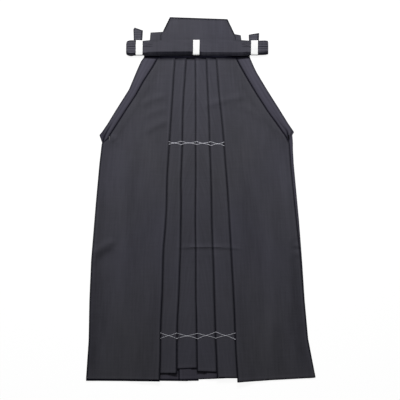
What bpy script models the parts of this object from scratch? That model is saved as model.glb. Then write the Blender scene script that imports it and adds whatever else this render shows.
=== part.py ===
"""Hakama trousers laid flat, front up, with the ties folded across the waist.

All lengths below are in millimetres; MM turns them into metres.
+X is the picture's right, +Y the waist, +Z up from the surface that the cloth rests on.
"""
import math
from collections import namedtuple

import bmesh
import bpy
from mathutils import Vector

# Driving dimensions
MM = 0.001
CLOTH = 1.0          # wall of the cloth
GAP = 0.35           # space between two layers of cloth
PITCH = CLOTH + GAP
SEAM = 0.3           # space between two pieces at a seam
SLOPE = 0.25         # steepest fall of a layer that settles over the ones beneath
SHOULDER = 2.5       # level cloth kept past each fold before it falls
TURN_STEPS = 4       # faces round each fold

SIDE_LAP = 12.0      # how far the side strips run in under the front
CENTRE_SEAM = 20.0   # seam of the two legs, to the right of the centre crease
BOARD_THICK = 5.2
FLAP_THICK = 3.5
TAIL_THICK = 3.0
BAND_THICK = 1.6
PAPER = 0.6
RING_GAP = 0.3
BUNDLE_TOP = 21.5    # height of the folded ties at the middle
BUNDLE_END = 15.0    # and at both ends

# Height along the garment of each section, from the waist to the hem
SECTIONS = (410.7, 391.4, 364.0, 328.0, 286.5, 246.0, 208.4, 186.0, 178.0, 156.2,
            115.0, 41.0, -56.0, -166.0, -277.0, -387.0, -498.0)
HEM_START = -277.0   # below this the hem's own slant is spread over the sections
HEM_LINE = -498.0

# The five pleat creases, left to right
Crease = namedtuple("Crease", "y first second centre fourth fifth")
CREASES = (
    Crease(410.7, -71.0, -41.9, -13.8, 18.4, 46.2),
    Crease(391.4, -72.3, -42.8, -13.8, 19.0, 47.5),
    Crease(220.0, -84.5, -51.1, -13.2, 24.6, 59.1),
    Crease(137.0, -87.5, -51.9, -13.5, 25.7, 63.2),
    Crease(0.0, -96.0, -54.6, -14.1, 29.8, 75.6),
    Crease(-277.0, -108.2, -62.4, -12.1, 38.6, 92.2),
    Crease(-498.0, -114.2, -67.0, -8.2, 45.4, 102.4),
)

# How deep each pleat runs in beneath
Depth = namedtuple("Depth", "y depth")
DEPTHS = (Depth(410.7, 36.0), Depth(391.4, 36.0), Depth(0.0, 60.0), Depth(-498.0, 74.0))
SHARE = {"first": 0.94, "second": 1.0, "centre": 1.06, "fourth": 0.94, "fifth": 0.94}

# Outline: the back panels above the side seam, the front panels below it
Edge = namedtuple("Edge", "y left right")
OUTLINE = (
    Edge(410.7, -155.7, 135.0),
    Edge(391.4, -155.7, 135.0),
    Edge(381.0, -163.6, 139.5),
    Edge(364.0, -171.4, 147.0),
    Edge(350.0, -177.5, 153.8),
    Edge(328.0, -186.6, 167.0),
    Edge(303.0, -197.1, 182.0),
    Edge(286.5, -207.5, 192.4),
    Edge(250.0, -230.7, 215.5),
    Edge(208.4, -256.1, 241.2),
    Edge(186.0, -271.3, 256.7),
    Edge(178.0, -278.2, 251.8),
    Edge(156.2, -270.5, 253.4),
    Edge(137.4, -273.8, 253.4),
    Edge(98.8, -277.6, 255.6),
    Edge(41.0, -283.4, 260.9),
    Edge(-56.0, -292.0, 270.0),
    Edge(-166.0, -300.9, 278.4),
    Edge(-277.0, -305.5, 285.7),
    Edge(-387.0, -308.0, 295.2),
    Edge(-498.0, -315.0, 315.4),
)

# Slanting fold of the front beside each side opening, down to the side seam
FOLD_EDGE = (
    Edge(410.7, -120.0, 93.0),
    Edge(391.4, -118.0, 96.8),
    Edge(364.0, -133.5, 111.5),
    Edge(328.0, -157.0, 132.0),
    Edge(286.5, -180.0, 157.0),
    Edge(242.0, -209.5, 186.0),
    Edge(204.0, -233.8, 213.7),
    Edge(178.0, -250.4, 232.0),
    Edge(168.9, -254.2, 238.0),
    Edge(156.2, -270.3, 242.6),
    Edge(98.8, -277.4, 246.5),
    Edge(0.0, -287.4, 256.5),
    Edge(-166.0, -300.7, 274.0),
    Edge(-277.0, -305.3, 283.0),
    Edge(-498.0, -314.9, 314.6),
)

# Outer edge of each side strip, down to where it ends under the front
STRIP_EDGE = (
    Edge(410.7, -154.4, 133.8),
    Edge(391.4, -154.4, 133.6),
    Edge(381.0, -162.2, 138.2),
    Edge(364.0, -169.8, 145.4),
    Edge(328.0, -184.8, 165.0),
    Edge(303.0, -195.1, 179.1),
    Edge(286.5, -205.0, 186.8),
    Edge(242.0, -231.2, 206.2),
    Edge(204.0, -248.4, 225.0),
    Edge(178.0, -264.2, 242.0),
    Edge(159.0, -269.0, 240.8),
)
STRIP_END = 159.0

# Hem of each sheet at its two ends, in the order that the sheet is walked
Hem = namedtuple("Hem", "start end")
HEMS = {
    "A": Hem(-498.2, -498.2), "B1": Hem(-494.0, -484.0), "S1": Hem(-481.0, -479.7),
    "B2": Hem(-478.0, -471.0), "S2": Hem(-469.5, -465.3),
    "RA": Hem(-488.0, -502.3), "RB1": Hem(-499.0, -491.0), "RS4": Hem(-489.5, -489.0),
    "RB2": Hem(-487.0, -478.5), "RS3": Hem(-477.0, -472.2), "RB3": Hem(-471.5, -470.5),
    "RS2": Hem(-470.0, -468.0),
    "L0": Hem(-498.2, -498.2), "L1": Hem(-498.0, -497.6), "L2": Hem(-497.6, -497.0),
    "R0": Hem(-488.0, -493.5), "R1": Hem(-493.4, -493.0), "R2": Hem(-493.0, -492.5),
}

# Back board and the pieces beside it, as outlines seen from the front
BOARD = ((-84.7, 501.8), (-109.0, 450.0), (-109.6, 411.0), (97.4, 411.0), (93.0, 455.7),
         (73.7, 496.2))
BOARD_SHOULDER = (-104.1, 462.0)
FLAP_LEFT = ((-137.2, 459.5), (-141.3, 413.4), (-110.0, 413.4), (-109.4, 450.0),
             (-104.6, 461.6))
FLAP_RIGHT = ((93.4, 455.4), (97.8, 413.4), (113.6, 413.4), (111.5, 441.0), (110.1, 452.1))
TAIL_LEFT = ((-183.5, 467.0), (-182.4, 425.0), (-161.8, 425.0), (-159.3, 462.3),
             (-180.2, 471.1))
TAIL_RIGHT = ((132.8, 451.8), (133.4, 425.0), (158.0, 425.0), (158.4, 456.5))

# The folded ties: a row per section along the waist
Tie = namedtuple("Tie", "x lean top bottom rise")
TIES = (
    Tie(-202.3, 0.0, 433.0, 400.5, 0.0),
    Tie(-200.0, 0.0, 437.4, 397.4, 0.1),
    Tie(-191.0, 0.0, 439.2, 395.8, 0.2),
    Tie(-180.2, 0.0, 438.6, 396.6, 0.25),
    Tie(-158.0, 0.0, 437.4, 397.0, 0.3),
    Tie(-138.6, 0.0, 439.7, 397.2, 0.6),
    Tie(-112.0, 0.0, 440.2, 397.4, 1.0),
    Tie(-60.0, 0.0, 440.8, 397.4, 1.0),
    Tie(-12.0, 0.0, 441.0, 397.4, 1.0),
    Tie(40.0, 0.0, 440.8, 397.6, 1.0),
    Tie(90.0, 0.0, 440.4, 398.0, 1.0),
    Tie(111.0, 0.0, 440.2, 398.2, 0.6),
    Tie(136.9, 0.0, 437.4, 398.3, 0.3),
    Tie(158.4, 0.0, 437.8, 398.6, 0.25),
    Tie(176.5, 1.4, 438.2, 400.6, 0.2),
    Tie(181.2, 2.6, 437.4, 402.4, 0.0),
)
STEP_LINE = 412.6    # where the underside of the ties steps up over the panels
LOW_CORNER = 7.0     # round lower edge of the bundle
HIGH_CORNER = 2.6
UNDER_CORNER = 1.4
UNDER_ENDS = 4.2     # underside of the bundle at its two ends
UNDER_BOARD = 6.6    # and over the board
UNDER_REACH = 27.0   # half the space between two sections of the bundle
PAPER_BANDS = {"PaperBandLeft": (-179.8, -158.4), "PaperBandCentre": (-23.2, -1.4),
               "PaperBandRight": (137.3, 158.2)}

CHARCOAL = (0.040, 0.040, 0.048, 1.0)
WHITE = (0.86, 0.86, 0.84, 1.0)


def clear_scene():
    for item in list(bpy.data.objects):
        bpy.data.objects.remove(item, do_unlink=True)


def along(table, y, column):
    """Value of one column of a table at height y, straight between its rows."""
    if y >= table[0].y:
        return getattr(table[0], column)
    for upper, lower in zip(table, table[1:]):
        if y >= lower.y:
            part = (upper.y - y) / (upper.y - lower.y)
            first = getattr(upper, column)
            return first + part * (getattr(lower, column) - first)
    return getattr(table[-1], column)


def pleat_lines(y):
    """Places of the creases, the pleats' inner folds and the back's folds at height y."""
    depth = along(DEPTHS, y, "depth")
    c1, c2, c3, c4, c5 = [along(CREASES, y, name) for name in SHARE]
    lines = {"c1": c1, "c2": c2, "c3": c3, "c4": c4, "c5": c5}
    lines["p1"] = c1 - depth * SHARE["first"]
    lines["p2"] = c2 - depth * SHARE["second"]
    lines["p3"] = c3 + depth * SHARE["centre"]
    lines["p4"] = c4 + depth * SHARE["fourth"]
    lines["p5"] = c5 + depth * SHARE["fifth"]
    lines["cs"] = c3 + CENTRE_SEAM
    lines["bl1"] = (c2 + c3) / 2
    lines["bl2"] = (c1 + c2) / 2
    lines["br1"] = (c3 + CENTRE_SEAM + c4) / 2
    lines["br2"] = (lines["p3"] + c5) / 2
    return lines


COLUMN_PLAN = (
    ("p1", -SHOULDER), ("p1", 0), ("p1~p2", 0), ("p2", -SHOULDER), ("p2", 0), ("c1", 0),
    ("c1", SHOULDER), ("bl2", -SHOULDER), ("bl2", 0), ("c2", 0), ("c2", SHOULDER),
    ("bl1", 0), ("bl1", SHOULDER), ("c3", -SHOULDER), ("c3", 0), ("cs", 0),
    ("br1", -SHOULDER), ("br1", 0), ("c4", -SHOULDER), ("c4", 0), ("p3", 0),
    ("p3", SHOULDER), ("br2", 0), ("br2", SHOULDER), ("c5", -SHOULDER), ("c5", 0),
    ("p4", 0), ("p4", SHOULDER), ("p4~p5", 0), ("p5", 0), ("p5", SHOULDER),
)


def column_index(key):
    return COLUMN_PLAN.index((key, 0))


def columns(y):
    """The places across the middle where every layer has its points."""
    lines = pleat_lines(y)
    places = []
    for key, shift in COLUMN_PLAN:
        if "~" in key:
            one, two = key.split("~")
            places.append((lines[one] + lines[two]) / 2)
        else:
            places.append(lines[key] + shift)
    return places


def front_side(y, side):
    """Places of the front's outer sheet from its edge in to the pleats."""
    lines = pleat_lines(y)
    edge = along(FOLD_EDGE, y, side)
    if side == "left":
        stop = lines["p1"] - SHOULDER
        lap = min(SIDE_LAP, lines["p1"] - 4.0 - edge)
        inner = edge + lap + 0.7
    else:
        stop = lines["p5"] + SHOULDER
        lap = min(SIDE_LAP, edge - lines["p5"] - 4.0)
        inner = edge - lap - 0.7
    return [edge, inner, inner + (stop - inner) * 0.35, inner + (stop - inner) * 0.7]


def back_side(y, side):
    """Places of the back panel from its edge in to the pleats."""
    lines = pleat_lines(y)
    edge = along(OUTLINE, y, side)
    stop = lines["p1"] - SHOULDER if side == "left" else lines["p5"] + SHOULDER
    return [edge, edge + (stop - edge) * 0.35, edge + (stop - edge) * 0.7]


# Sheets in the order that they lie on each other: name, first and last line, side part
Sheet = namedtuple("Sheet", "name start end side")
ORDER = (
    Sheet("L0", None, "bl1", "left back"), Sheet("R0", "br1", None, "right back"),
    Sheet("L1", "bl2", "bl1", ""), Sheet("R1", "br1", "br2", ""),
    Sheet("L2", "bl2", "c3", ""), Sheet("R2", "c3", "br2", ""),
    Sheet("S2", "p2", "cs", ""), Sheet("RS2", "cs", "p3", ""),
    Sheet("B2", "p2", "c2", ""), Sheet("RB3", "c3", "p3", ""),
    Sheet("S1", "p1", "c2", ""), Sheet("RS3", "c3", "p4", ""),
    Sheet("B1", "p1", "c1", ""), Sheet("RB2", "c4", "p4", ""),
    Sheet("RS4", "c4", "p5", ""), Sheet("A", None, "c1", "left front"),
    Sheet("RB1", "c5", "p5", ""), Sheet("RA", "c5", None, "right front"),
)


def settle(places, tops):
    """Heights of a sheet laid on the tops beneath it, never steeper than SLOPE."""
    heights = []
    for here in places:
        best = 0.0
        for there, top in zip(places, tops):
            away = max(0.0, abs(here - there) - SHOULDER)
            best = max(best, top - SLOPE * away)
        heights.append(best)
    return heights


def stack(y):
    """Lay every sheet at height y; returns each sheet's points and the tops left over."""
    places = columns(y)
    tops = [0.0] * len(places)
    strip_here = y >= STRIP_END - 3.0
    side_top = CLOTH + PITCH if strip_here else CLOTH
    sheets = {}
    side_tops = {}
    for sheet in ORDER:
        first = column_index(sheet.start) if sheet.start else 0
        last = column_index(sheet.end) if sheet.end else len(places) - 1
        span = places[first:last + 1]
        under = tops[first:last + 1]
        outer = []
        outer_under = []
        if sheet.side == "left back" or sheet.side == "right back":
            outer = back_side(y, sheet.side.split()[0])
            outer_under = [0.0] * len(outer)
        elif sheet.side:
            outer = front_side(y, sheet.side.split()[0])
            outer_under = [side_top, side_top, CLOTH, CLOTH]
        if sheet.side.startswith("left"):
            walk = outer + span
            below = outer_under + under
        else:
            walk = span + outer[::-1]
            below = under + outer_under[::-1]
        if sheet.name in ("L0", "R0"):
            heights = [0.0] * len(walk)
        else:
            heights = [h + GAP if h > 0 else 0.0 for h in settle(walk, below)]
        middle = [h + CLOTH / 2 for h in heights]
        sheets[sheet.name] = list(zip(walk, middle))
        inner = middle[len(outer):] if sheet.side.startswith("left") else middle[:len(span)]
        for number, height in zip(range(first, last + 1), inner):
            tops[number] = height + CLOTH / 2
        if sheet.side.endswith("front"):
            side = sheet.side.split()[0]
            side_tops[side] = middle[0] + CLOTH / 2 if side == "left" else middle[-1] + CLOTH / 2
    return sheets, places, tops, side_tops


def turn(lower, upper, outward):
    """Points round a fold between the ends of two sheets."""
    x = lower[0]
    centre = (lower[1] + upper[1]) / 2
    radius = (upper[1] - lower[1]) / 2
    points = []
    for step in range(1, TURN_STEPS):
        angle = -math.pi / 2 + math.pi * step / TURN_STEPS
        points.append((x + outward * abs(radius) * math.cos(angle),
                       centre + radius * math.sin(angle)))
    return points


# Each panel is one cloth walked through its sheets: name, walking direction
CHAINS = {
    "FrontPanelLeft": (("A", 1), ("B1", -1), ("S1", 1), ("B2", -1), ("S2", 1)),
    "FrontPanelRight": (("RA", -1), ("RB1", 1), ("RS4", -1), ("RB2", 1), ("RS3", -1),
                        ("RB3", 1), ("RS2", -1)),
    "BackPanelLeft": (("L0", 1), ("L1", -1), ("L2", 1)),
    "BackPanelRight": (("R0", -1), ("R1", 1), ("R2", -1)),
}


def hem_height(y, hem):
    """Height of a point whose sheet ends at its own hem."""
    if y >= HEM_START:
        return y
    part = (HEM_START - y) / (HEM_START - HEM_LINE)
    return HEM_START + part * (hem - HEM_START)


def panel_rows(chain, stacks):
    rows = []
    for y, (sheets, _, _, _) in zip(SECTIONS, stacks):
        row = []
        for number, (name, direction) in enumerate(chain):
            points = sheets[name][::direction]
            hem = HEMS[name]
            if number:
                before = row[-1]
                bend = turn((before[0], before[2]), points[0], -direction)
                row += [(x, before[1], z) for x, z in bend]
            count = len(points) - 1
            for step, (x, z) in enumerate(points):
                mine = hem.start + (hem.end - hem.start) * step / count
                row.append((x, hem_height(y, mine), z))
        if chain[-1][0] in ("S2", "L2"):
            x, where, z = row[-1]
            row[-1] = (x - SEAM / 2, where, z)
        else:
            x, where, z = row[-1]
            row[-1] = (x + SEAM / 2, where, z)
        rows.append(row)
    return rows


def material(name, colour, rough):
    made = bpy.data.materials.new(name)
    made.use_nodes = True
    shader = made.node_tree.nodes["Principled BSDF"]
    shader.inputs["Base Color"].default_value = colour
    shader.inputs["Roughness"].default_value = rough
    made.diffuse_color = colour
    return made


def add_object(name, mesh, colour, rough, collection):
    item = bpy.data.objects.new(name, mesh)
    collection.objects.link(item)
    mesh.materials.append(material(name + "Material", colour, rough))
    return item


def grid_mesh(name, rows):
    """An open surface through rows of points."""
    points = [Vector(point) * MM for row in rows for point in row]
    width = len(rows[0])
    faces = []
    for r in range(len(rows) - 1):
        for c in range(width - 1):
            a = r * width + c
            faces.append((a, a + 1, a + width + 1, a + width))
    mesh = bpy.data.meshes.new(name)
    mesh.from_pydata(points, [], faces)
    mesh.update()
    return mesh


def shell(name, rows, wall, collection):
    item = add_object(name, grid_mesh(name, rows), CHARCOAL, 0.9, collection)
    thick = item.modifiers.new("Wall", "SOLIDIFY")
    thick.thickness = wall * MM
    thick.offset = 0.0
    thick.use_even_offset = True
    thick.use_quality_normals = True
    return item


def side_strip(name, side, collection):
    heights = [y for y in SECTIONS if y > STRIP_END + 1.0] + [STRIP_END]
    rows = []
    for y in heights:
        outer = along(STRIP_EDGE, y, side)
        edge, inner = front_side(y, side)[:2]
        end = inner - 0.7 if side == "left" else inner + 0.7
        level = PITCH + CLOTH / 2
        rows.append([(outer, y, level), ((outer + end) / 2, y, level), (end, y, level)])
    return shell(name, rows, CLOTH, collection)


def waist_tops(part, stacks):
    """Tops of the front between its first two sections, with the two sides."""
    found = []
    first, second = stacks[0], stacks[1]
    for one, two, high, low in zip(first[1], second[1], first[2], second[2]):
        found.append((one + (two - one) * part, high + (low - high) * part))
    y = SECTIONS[0] + (SECTIONS[1] - SECTIONS[0]) * part
    sides = []
    for side in ("left", "right"):
        edge, inner = front_side(y, side)[:2]
        top = first[3][side] + (second[3][side] - first[3][side]) * part
        rim = along(STRIP_EDGE, y, side)
        level = 2 * PITCH + GAP
        sides.append([(rim, level), (edge, top), (inner, top)])
    return sides[0] + found + sides[1][::-1], y


def band_rows(stacks):
    rows = []
    for part in (0.08, 0.5, 0.92):
        tops, y = waist_tops(part, stacks)
        places = [x for x, _ in tops]
        levels = settle(places, [z for _, z in tops])
        row = [(x, y, z + GAP + BAND_THICK / 2 + 0.1) for x, z in zip(places, levels)]
        rows.append(row)
    return rows


def under_panels(x, rows):
    """Underside of the bundle over the waistband at x."""
    best = UNDER_ENDS
    for row in rows:
        for where, _, z in row:
            away = max(0.0, abs(x - where) - UNDER_REACH)
            top = z + BAND_THICK / 2 + 2 * RING_GAP + PAPER
            best = max(best, top - SLOPE * away)
    return best


def tie_between(x):
    for one, two in zip(TIES, TIES[1:]):
        if x <= two.x:
            part = (x - one.x) / (two.x - one.x)
            return Tie(*[a + (b - a) * part for a, b in zip(one, two)])
    return TIES[-1]


def tie_section(tie, rows, grow):
    """Outline of the bundle across the waist, grown outwards by grow."""
    top = tie.top + grow
    bottom = tie.bottom - grow
    rise = BUNDLE_END + (BUNDLE_TOP - BUNDLE_END) * tie.rise + grow
    part = min(1.0, max(0.0, (tie.rise - 0.3) / 0.3))
    under = UNDER_ENDS + (UNDER_BOARD - UNDER_ENDS) * part - grow
    over = max(under + grow, under_panels(tie.x, rows)) - grow
    step = STEP_LINE - grow
    points = []
    arcs = (
        (top, rise, HIGH_CORNER + grow, 0.0, 4),
        (bottom, rise, LOW_CORNER + grow, 90.0, 6),
    )
    for y, z, radius, start, count in arcs:
        cy = y - radius if start == 0.0 else y + radius
        for number in range(count + 1):
            angle = math.radians(start + 90.0 * number / count)
            points.append((cy + radius * math.cos(angle), z - radius + radius * math.sin(angle)))
    small = UNDER_CORNER
    points.append((bottom, over + small))
    points.append((bottom + small, over))
    points.append((step, over))
    points.append((step, under))
    points.append((top - small, under))
    points.append((top, under + small))
    middle = (tie.top + tie.bottom) / 2
    return [(tie.x - tie.lean * (y - middle) / 20.0, y, z) for y, z in points]


def tube_mesh(name, sections):
    """A closed solid through sections, with a flat face at each end."""
    width = len(sections[0])
    points = [Vector(point) * MM for section in sections for point in section]
    faces = []
    for r in range(len(sections) - 1):
        for c in range(width):
            a = r * width + c
            b = r * width + (c + 1) % width
            faces.append((a, b, b + width, a + width))
    faces.append(tuple(range(width - 1, -1, -1)))
    last = (len(sections) - 1) * width
    faces.append(tuple(range(last, last + width)))
    mesh = bpy.data.meshes.new(name)
    mesh.from_pydata(points, [], faces)
    tidy(mesh)
    return mesh


def tidy(mesh):
    made = bmesh.new()
    made.from_mesh(mesh)
    bmesh.ops.recalc_face_normals(made, faces=made.faces[:])
    bmesh.ops.triangulate(made, faces=[f for f in made.faces if len(f.verts) > 4])
    made.to_mesh(mesh)
    made.free()
    mesh.update()


def ring_mesh(name, inner, outer):
    """A loop of paper: outer and inner sections joined at both ends."""
    width = len(inner[0])
    count = len(inner)
    points = [Vector(p) * MM for section in outer + inner for p in section]
    shift = count * width
    faces = []
    for r in range(count - 1):
        for c in range(width):
            a = r * width + c
            b = r * width + (c + 1) % width
            faces.append((a, b, b + width, a + width))
            faces.append((shift + a, shift + a + width, shift + b + width, shift + b))
    for c in range(width):
        a = c
        b = (c + 1) % width
        faces.append((a, shift + a, shift + b, b))
        a += (count - 1) * width
        b += (count - 1) * width
        faces.append((a, b, shift + b, shift + a))
    mesh = bpy.data.meshes.new(name)
    mesh.from_pydata(points, [], faces)
    tidy(mesh)
    return mesh


def plate(name, outline, bottom, top, bevel, collection, colour=CHARCOAL):
    """A flat piece with softened edges."""
    made = bmesh.new()
    low = [made.verts.new(Vector((x, y, bottom)) * MM) for x, y in outline]
    high = [made.verts.new(Vector((x, y, top)) * MM) for x, y in outline]
    made.faces.new(low[::-1])
    made.faces.new(high)
    count = len(outline)
    for c in range(count):
        d = (c + 1) % count
        made.faces.new((low[c], low[d], high[d], high[c]))
    bmesh.ops.recalc_face_normals(made, faces=made.faces[:])
    rims = [e for e in made.edges if all(v in high for v in e.verts)]
    rims += [e for e in made.edges if (e.verts[0] in high) != (e.verts[1] in high)]
    bmesh.ops.bevel(made, geom=rims, offset=bevel * MM, segments=2, profile=0.5,
                    affect="EDGES")
    bmesh.ops.triangulate(made, faces=[f for f in made.faces if len(f.verts) > 4])
    mesh = bpy.data.meshes.new(name)
    made.to_mesh(mesh)
    made.free()
    return add_object(name, mesh, colour, 0.9, collection)


def build():
    clear_scene()
    garment = bpy.data.collections.new("HakamaTrousers")
    bpy.context.scene.collection.children.link(garment)
    stacks = [stack(y) for y in SECTIONS]
    for name, chain in CHAINS.items():
        shell(name, panel_rows(chain, stacks), CLOTH, garment)
    side_strip("SideFoldLeft", "left", garment)
    side_strip("SideFoldRight", "right", garment)
    band = band_rows(stacks)
    shell("FrontBand", band, BAND_THICK, garment)
    board = (BOARD[0], BOARD_SHOULDER) + BOARD[1:]
    plate("BackBoard", board, 0.0, BOARD_THICK, 0.8, garment)
    plate("BackTieLeft", FLAP_LEFT, 0.0, FLAP_THICK, 0.6, garment)
    plate("BackTieRight", FLAP_RIGHT, 0.0, FLAP_THICK, 0.6, garment)
    plate("TieTailLeft", TAIL_LEFT, 0.0, TAIL_THICK, 0.6, garment)
    plate("TieTailRight", TAIL_RIGHT, 0.0, TAIL_THICK, 0.6, garment)
    bundle = [tie_section(tie, band, 0.0) for tie in TIES]
    add_object("TieBundle", tube_mesh("TieBundle", bundle), CHARCOAL, 0.9, garment)
    for name, (start, end) in PAPER_BANDS.items():
        places = [start] + [t.x for t in TIES if start + 2 < t.x < end - 2] + [end]
        inner = [tie_section(tie_between(x), band, RING_GAP) for x in places]
        outer = [tie_section(tie_between(x), band, RING_GAP + PAPER) for x in places]
        add_object(name, ring_mesh(name, inner, outer), WHITE, 0.7, garment)


build()
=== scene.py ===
# %% [markdown]
# Hakama trousers, laid flat with the front up. The real garment is a pair of very wide legs in
# a plain dark cloth, pleated into a waistband, with a stiff board at the back of the waist and
# long ties that are folded up and held by three paper bands. This lesson builds each of those
# in turn. The cloth is worked out from a few tables of sizes, layer by layer, because flat
# pleats are layers that lie on each other, and that is what makes their lines show. Two small
# helpers serve all through: one names the columns of a table, one puts an object in the scene.

import math
from collections import namedtuple

import bmesh
import bpy
import numpy as np
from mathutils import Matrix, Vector
from mathutils.bvhtree import BVHTree


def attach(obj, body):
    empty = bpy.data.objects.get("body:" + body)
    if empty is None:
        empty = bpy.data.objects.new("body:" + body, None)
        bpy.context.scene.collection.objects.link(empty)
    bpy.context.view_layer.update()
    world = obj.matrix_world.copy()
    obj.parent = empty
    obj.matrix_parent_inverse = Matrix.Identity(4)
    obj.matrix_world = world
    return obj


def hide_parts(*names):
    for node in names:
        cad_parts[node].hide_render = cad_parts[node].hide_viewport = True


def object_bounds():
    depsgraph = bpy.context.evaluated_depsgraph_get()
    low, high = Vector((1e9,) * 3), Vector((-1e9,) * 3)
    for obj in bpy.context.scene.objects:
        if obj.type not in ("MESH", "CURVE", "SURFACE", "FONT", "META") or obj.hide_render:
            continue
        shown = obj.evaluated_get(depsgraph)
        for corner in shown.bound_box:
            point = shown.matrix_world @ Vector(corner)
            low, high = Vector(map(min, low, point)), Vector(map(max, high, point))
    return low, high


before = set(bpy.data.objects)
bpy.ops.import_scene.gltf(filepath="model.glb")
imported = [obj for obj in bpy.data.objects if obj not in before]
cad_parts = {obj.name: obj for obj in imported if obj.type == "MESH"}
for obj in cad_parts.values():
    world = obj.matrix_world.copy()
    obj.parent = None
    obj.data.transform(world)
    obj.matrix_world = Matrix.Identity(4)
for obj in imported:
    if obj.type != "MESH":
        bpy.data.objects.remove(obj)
CAD_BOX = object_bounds()
MM = 0.001


def table(columns, *rows):
    kind = namedtuple("Row", columns)
    return tuple(kind(*row) for row in rows)


def placed(name, data):
    made = bpy.data.objects.new(name, data)
    bpy.context.scene.collection.objects.link(made)
    return made


print("solids:", sorted(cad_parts))

# %% [markdown]
# The photograph looks straight down on the cloth, so the camera hangs above it. A long lens
# far away keeps the edges from leaning outwards, as they would under a near one. The width of
# the picture on the floor and the point under its middle are both read from the photograph.

# %% Camera above the cloth
PICTURE_WIDTH = 1.0985
CAMERA_HEIGHT = 12.0
PICTURE_MIDDLE = (-0.0019, -0.0005)

eye_data = bpy.data.cameras.new("Eye")
eye_data.sensor_width = 36.0
eye_data.lens = 36.0 * CAMERA_HEIGHT / PICTURE_WIDTH
eye_data.clip_end = 50.0
eye = placed("Eye", eye_data)
eye.location = (PICTURE_MIDDLE[0], PICTURE_MIDDLE[1], CAMERA_HEIGHT)
bpy.context.scene.camera = eye
bpy.context.scene.view_settings.view_transform = "Standard"
print("lens in mm:", round(eye_data.lens, 1))

# %% [markdown]
# The sizes of the cloth come first. All are in millimetres. Each wall of cloth is one
# millimetre, and two layers stay a little apart so that they never cut each other. A layer
# can't drop off a fold like a step: it falls at a gentle slope, which is one more number.

# %% Sizes of the cloth
CLOTH = 1.0
GAP = 0.35
PITCH = CLOTH + GAP
SEAM = 0.02
SLOPE = 0.25
SHOULDER = 2.5
PAINTED_HIGHLIGHT_OFFSET = 4.8
ROUND_OFF = 5.0
TURN_STEPS = 8
TURN_REACH = 1.1
SIDE_LAP = 12.0
CENTRE_SEAM = 20.0
CENTRE_LAP = 3.0
PUFF = 2.6
PUFF_REACH = 8.0
WAIST = 410.7
HEM_LINE = -498.0
CREASE_REACH = 30.0
print("one layer is", PITCH, "mm high")

# %% [markdown]
# The pleats are five creases that spread towards the hem. A short table gives their places at
# a few heights, and the lines between the rows are straight, then softened. A second table
# gives how deep each pleat runs in beneath. Two pleats lie to one side and three to the other.

# %% Creases and pleat depths
CREASES = table(
    "y first second centre fourth fifth",
    (410.7, -69.8, -39.8, -14.4, 16.0, 42.2), (274.1, -79.1, -48.3, -13.2, 20.3, 52.5),
    (219.2, -83.2, -50.5, -12.3, 23.6, 58.5), (136.8, -87.9, -51.9, -13.4, 26.1, 65.9),
    (54.4, -93.1, -54.9, -12.9, 28.6, 72.2), (-14.2, -94.7, -54.3, -13.4, 30.0, 76.4),
    (-82.9, -98.3, -56.0, -14.0, 32.2, 80.8), (-137.8, -103.0, -56.5, -12.9, 34.1, 84.3),
    (-220.2, -105.4, -59.0, -12.6, 36.5, 88.2), (-330.0, -109.3, -64.8, -11.2, 40.1, 93.9),
    (-398.7, -110.9, -65.6, -10.1, 41.8, 96.4), (-498.0, -113.8, -66.3, -8.2, 45.9, 101.9),
)
DEPTHS = table(
    "y depth",
    (410.7, 36.0), (391.4, 36.0), (0.0, 60.0), (-498.0, 74.0),
)
SHARE = {"first": 0.94, "second": 1.0, "centre": 1.06, "fourth": 0.94, "fifth": 0.94}
print("creases at the hem:", CREASES[-1][1:])

# %% [markdown]
# Three more tables give the edges on both sides: the outline of the back, the slanting fold of
# the front beside the side opening, and the outer edge of the strip that is folded in there.
# Below the side opening the front and the back are sewn together, so their edges meet.

# %% Edges on both sides
OUTLINE = table(
    "y left right",
    (410.7, -155.7, 135.0), (391.4, -155.7, 135.0), (381.0, -163.6, 139.5),
    (364.0, -171.4, 147.0), (350.0, -177.5, 153.8), (328.0, -186.6, 167.0),
    (303.0, -197.1, 182.0), (286.5, -207.5, 192.4), (250.0, -230.7, 215.5),
    (208.4, -256.1, 241.2), (186.0, -271.3, 256.7), (178.0, -278.2, 251.8),
    (156.2, -270.5, 253.4), (137.4, -273.7, 253.4), (98.8, -277.2, 255.6), (41.0, -282.6, 260.9),
    (-56.0, -290.8, 270.0), (-166.0, -299.9, 278.4), (-277.0, -304.7, 285.7),
    (-387.0, -306.8, 295.2), (-498.0, -314.2, 315.4),
)
FOLD_EDGE = table(
    "y left right",
    (410.7, -120.0, 93.0), (391.4, -118.0, 96.8), (364.0, -133.5, 111.5), (328.0, -157.0, 132.0),
    (286.5, -180.0, 157.0), (242.0, -209.5, 186.0), (204.0, -233.8, 213.7),
    (178.0, -250.4, 232.0), (168.9, -254.2, 238.0), (156.2, -270.3, 242.6),
    (98.8, -277.0, 246.5), (0.0, -286.0, 256.5), (-166.0, -299.7, 274.0),
    (-277.0, -304.5, 283.0), (-387.0, -306.6, 292.8), (-498.0, -314.1, 314.6),
)
STRIP_EDGE = table(
    "y left right",
    (410.7, -154.4, 133.8), (391.4, -154.4, 133.8), (381.0, -162.4, 138.3),
    (364.0, -170.2, 145.8), (350.0, -176.3, 152.6), (328.0, -185.4, 165.8),
    (303.0, -195.9, 180.8), (286.5, -206.3, 191.2), (250.0, -229.5, 214.3),
    (208.4, -254.9, 240.0), (192.0, -265.0, 250.6), (186.0, -267.6, 250.8),
    (178.0, -268.6, 246.4), (159.0, -269.0, 241.4),
)
STRIP_END = 159.0
print("hem width:", OUTLINE[-1].right - OUTLINE[-1].left, "mm")

# %% [markdown]
# The hem isn't straight. Each pleat hangs a little higher than the one that covers it, so every
# sheet of cloth has its own hem, given at the two ends of the sheet.

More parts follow.
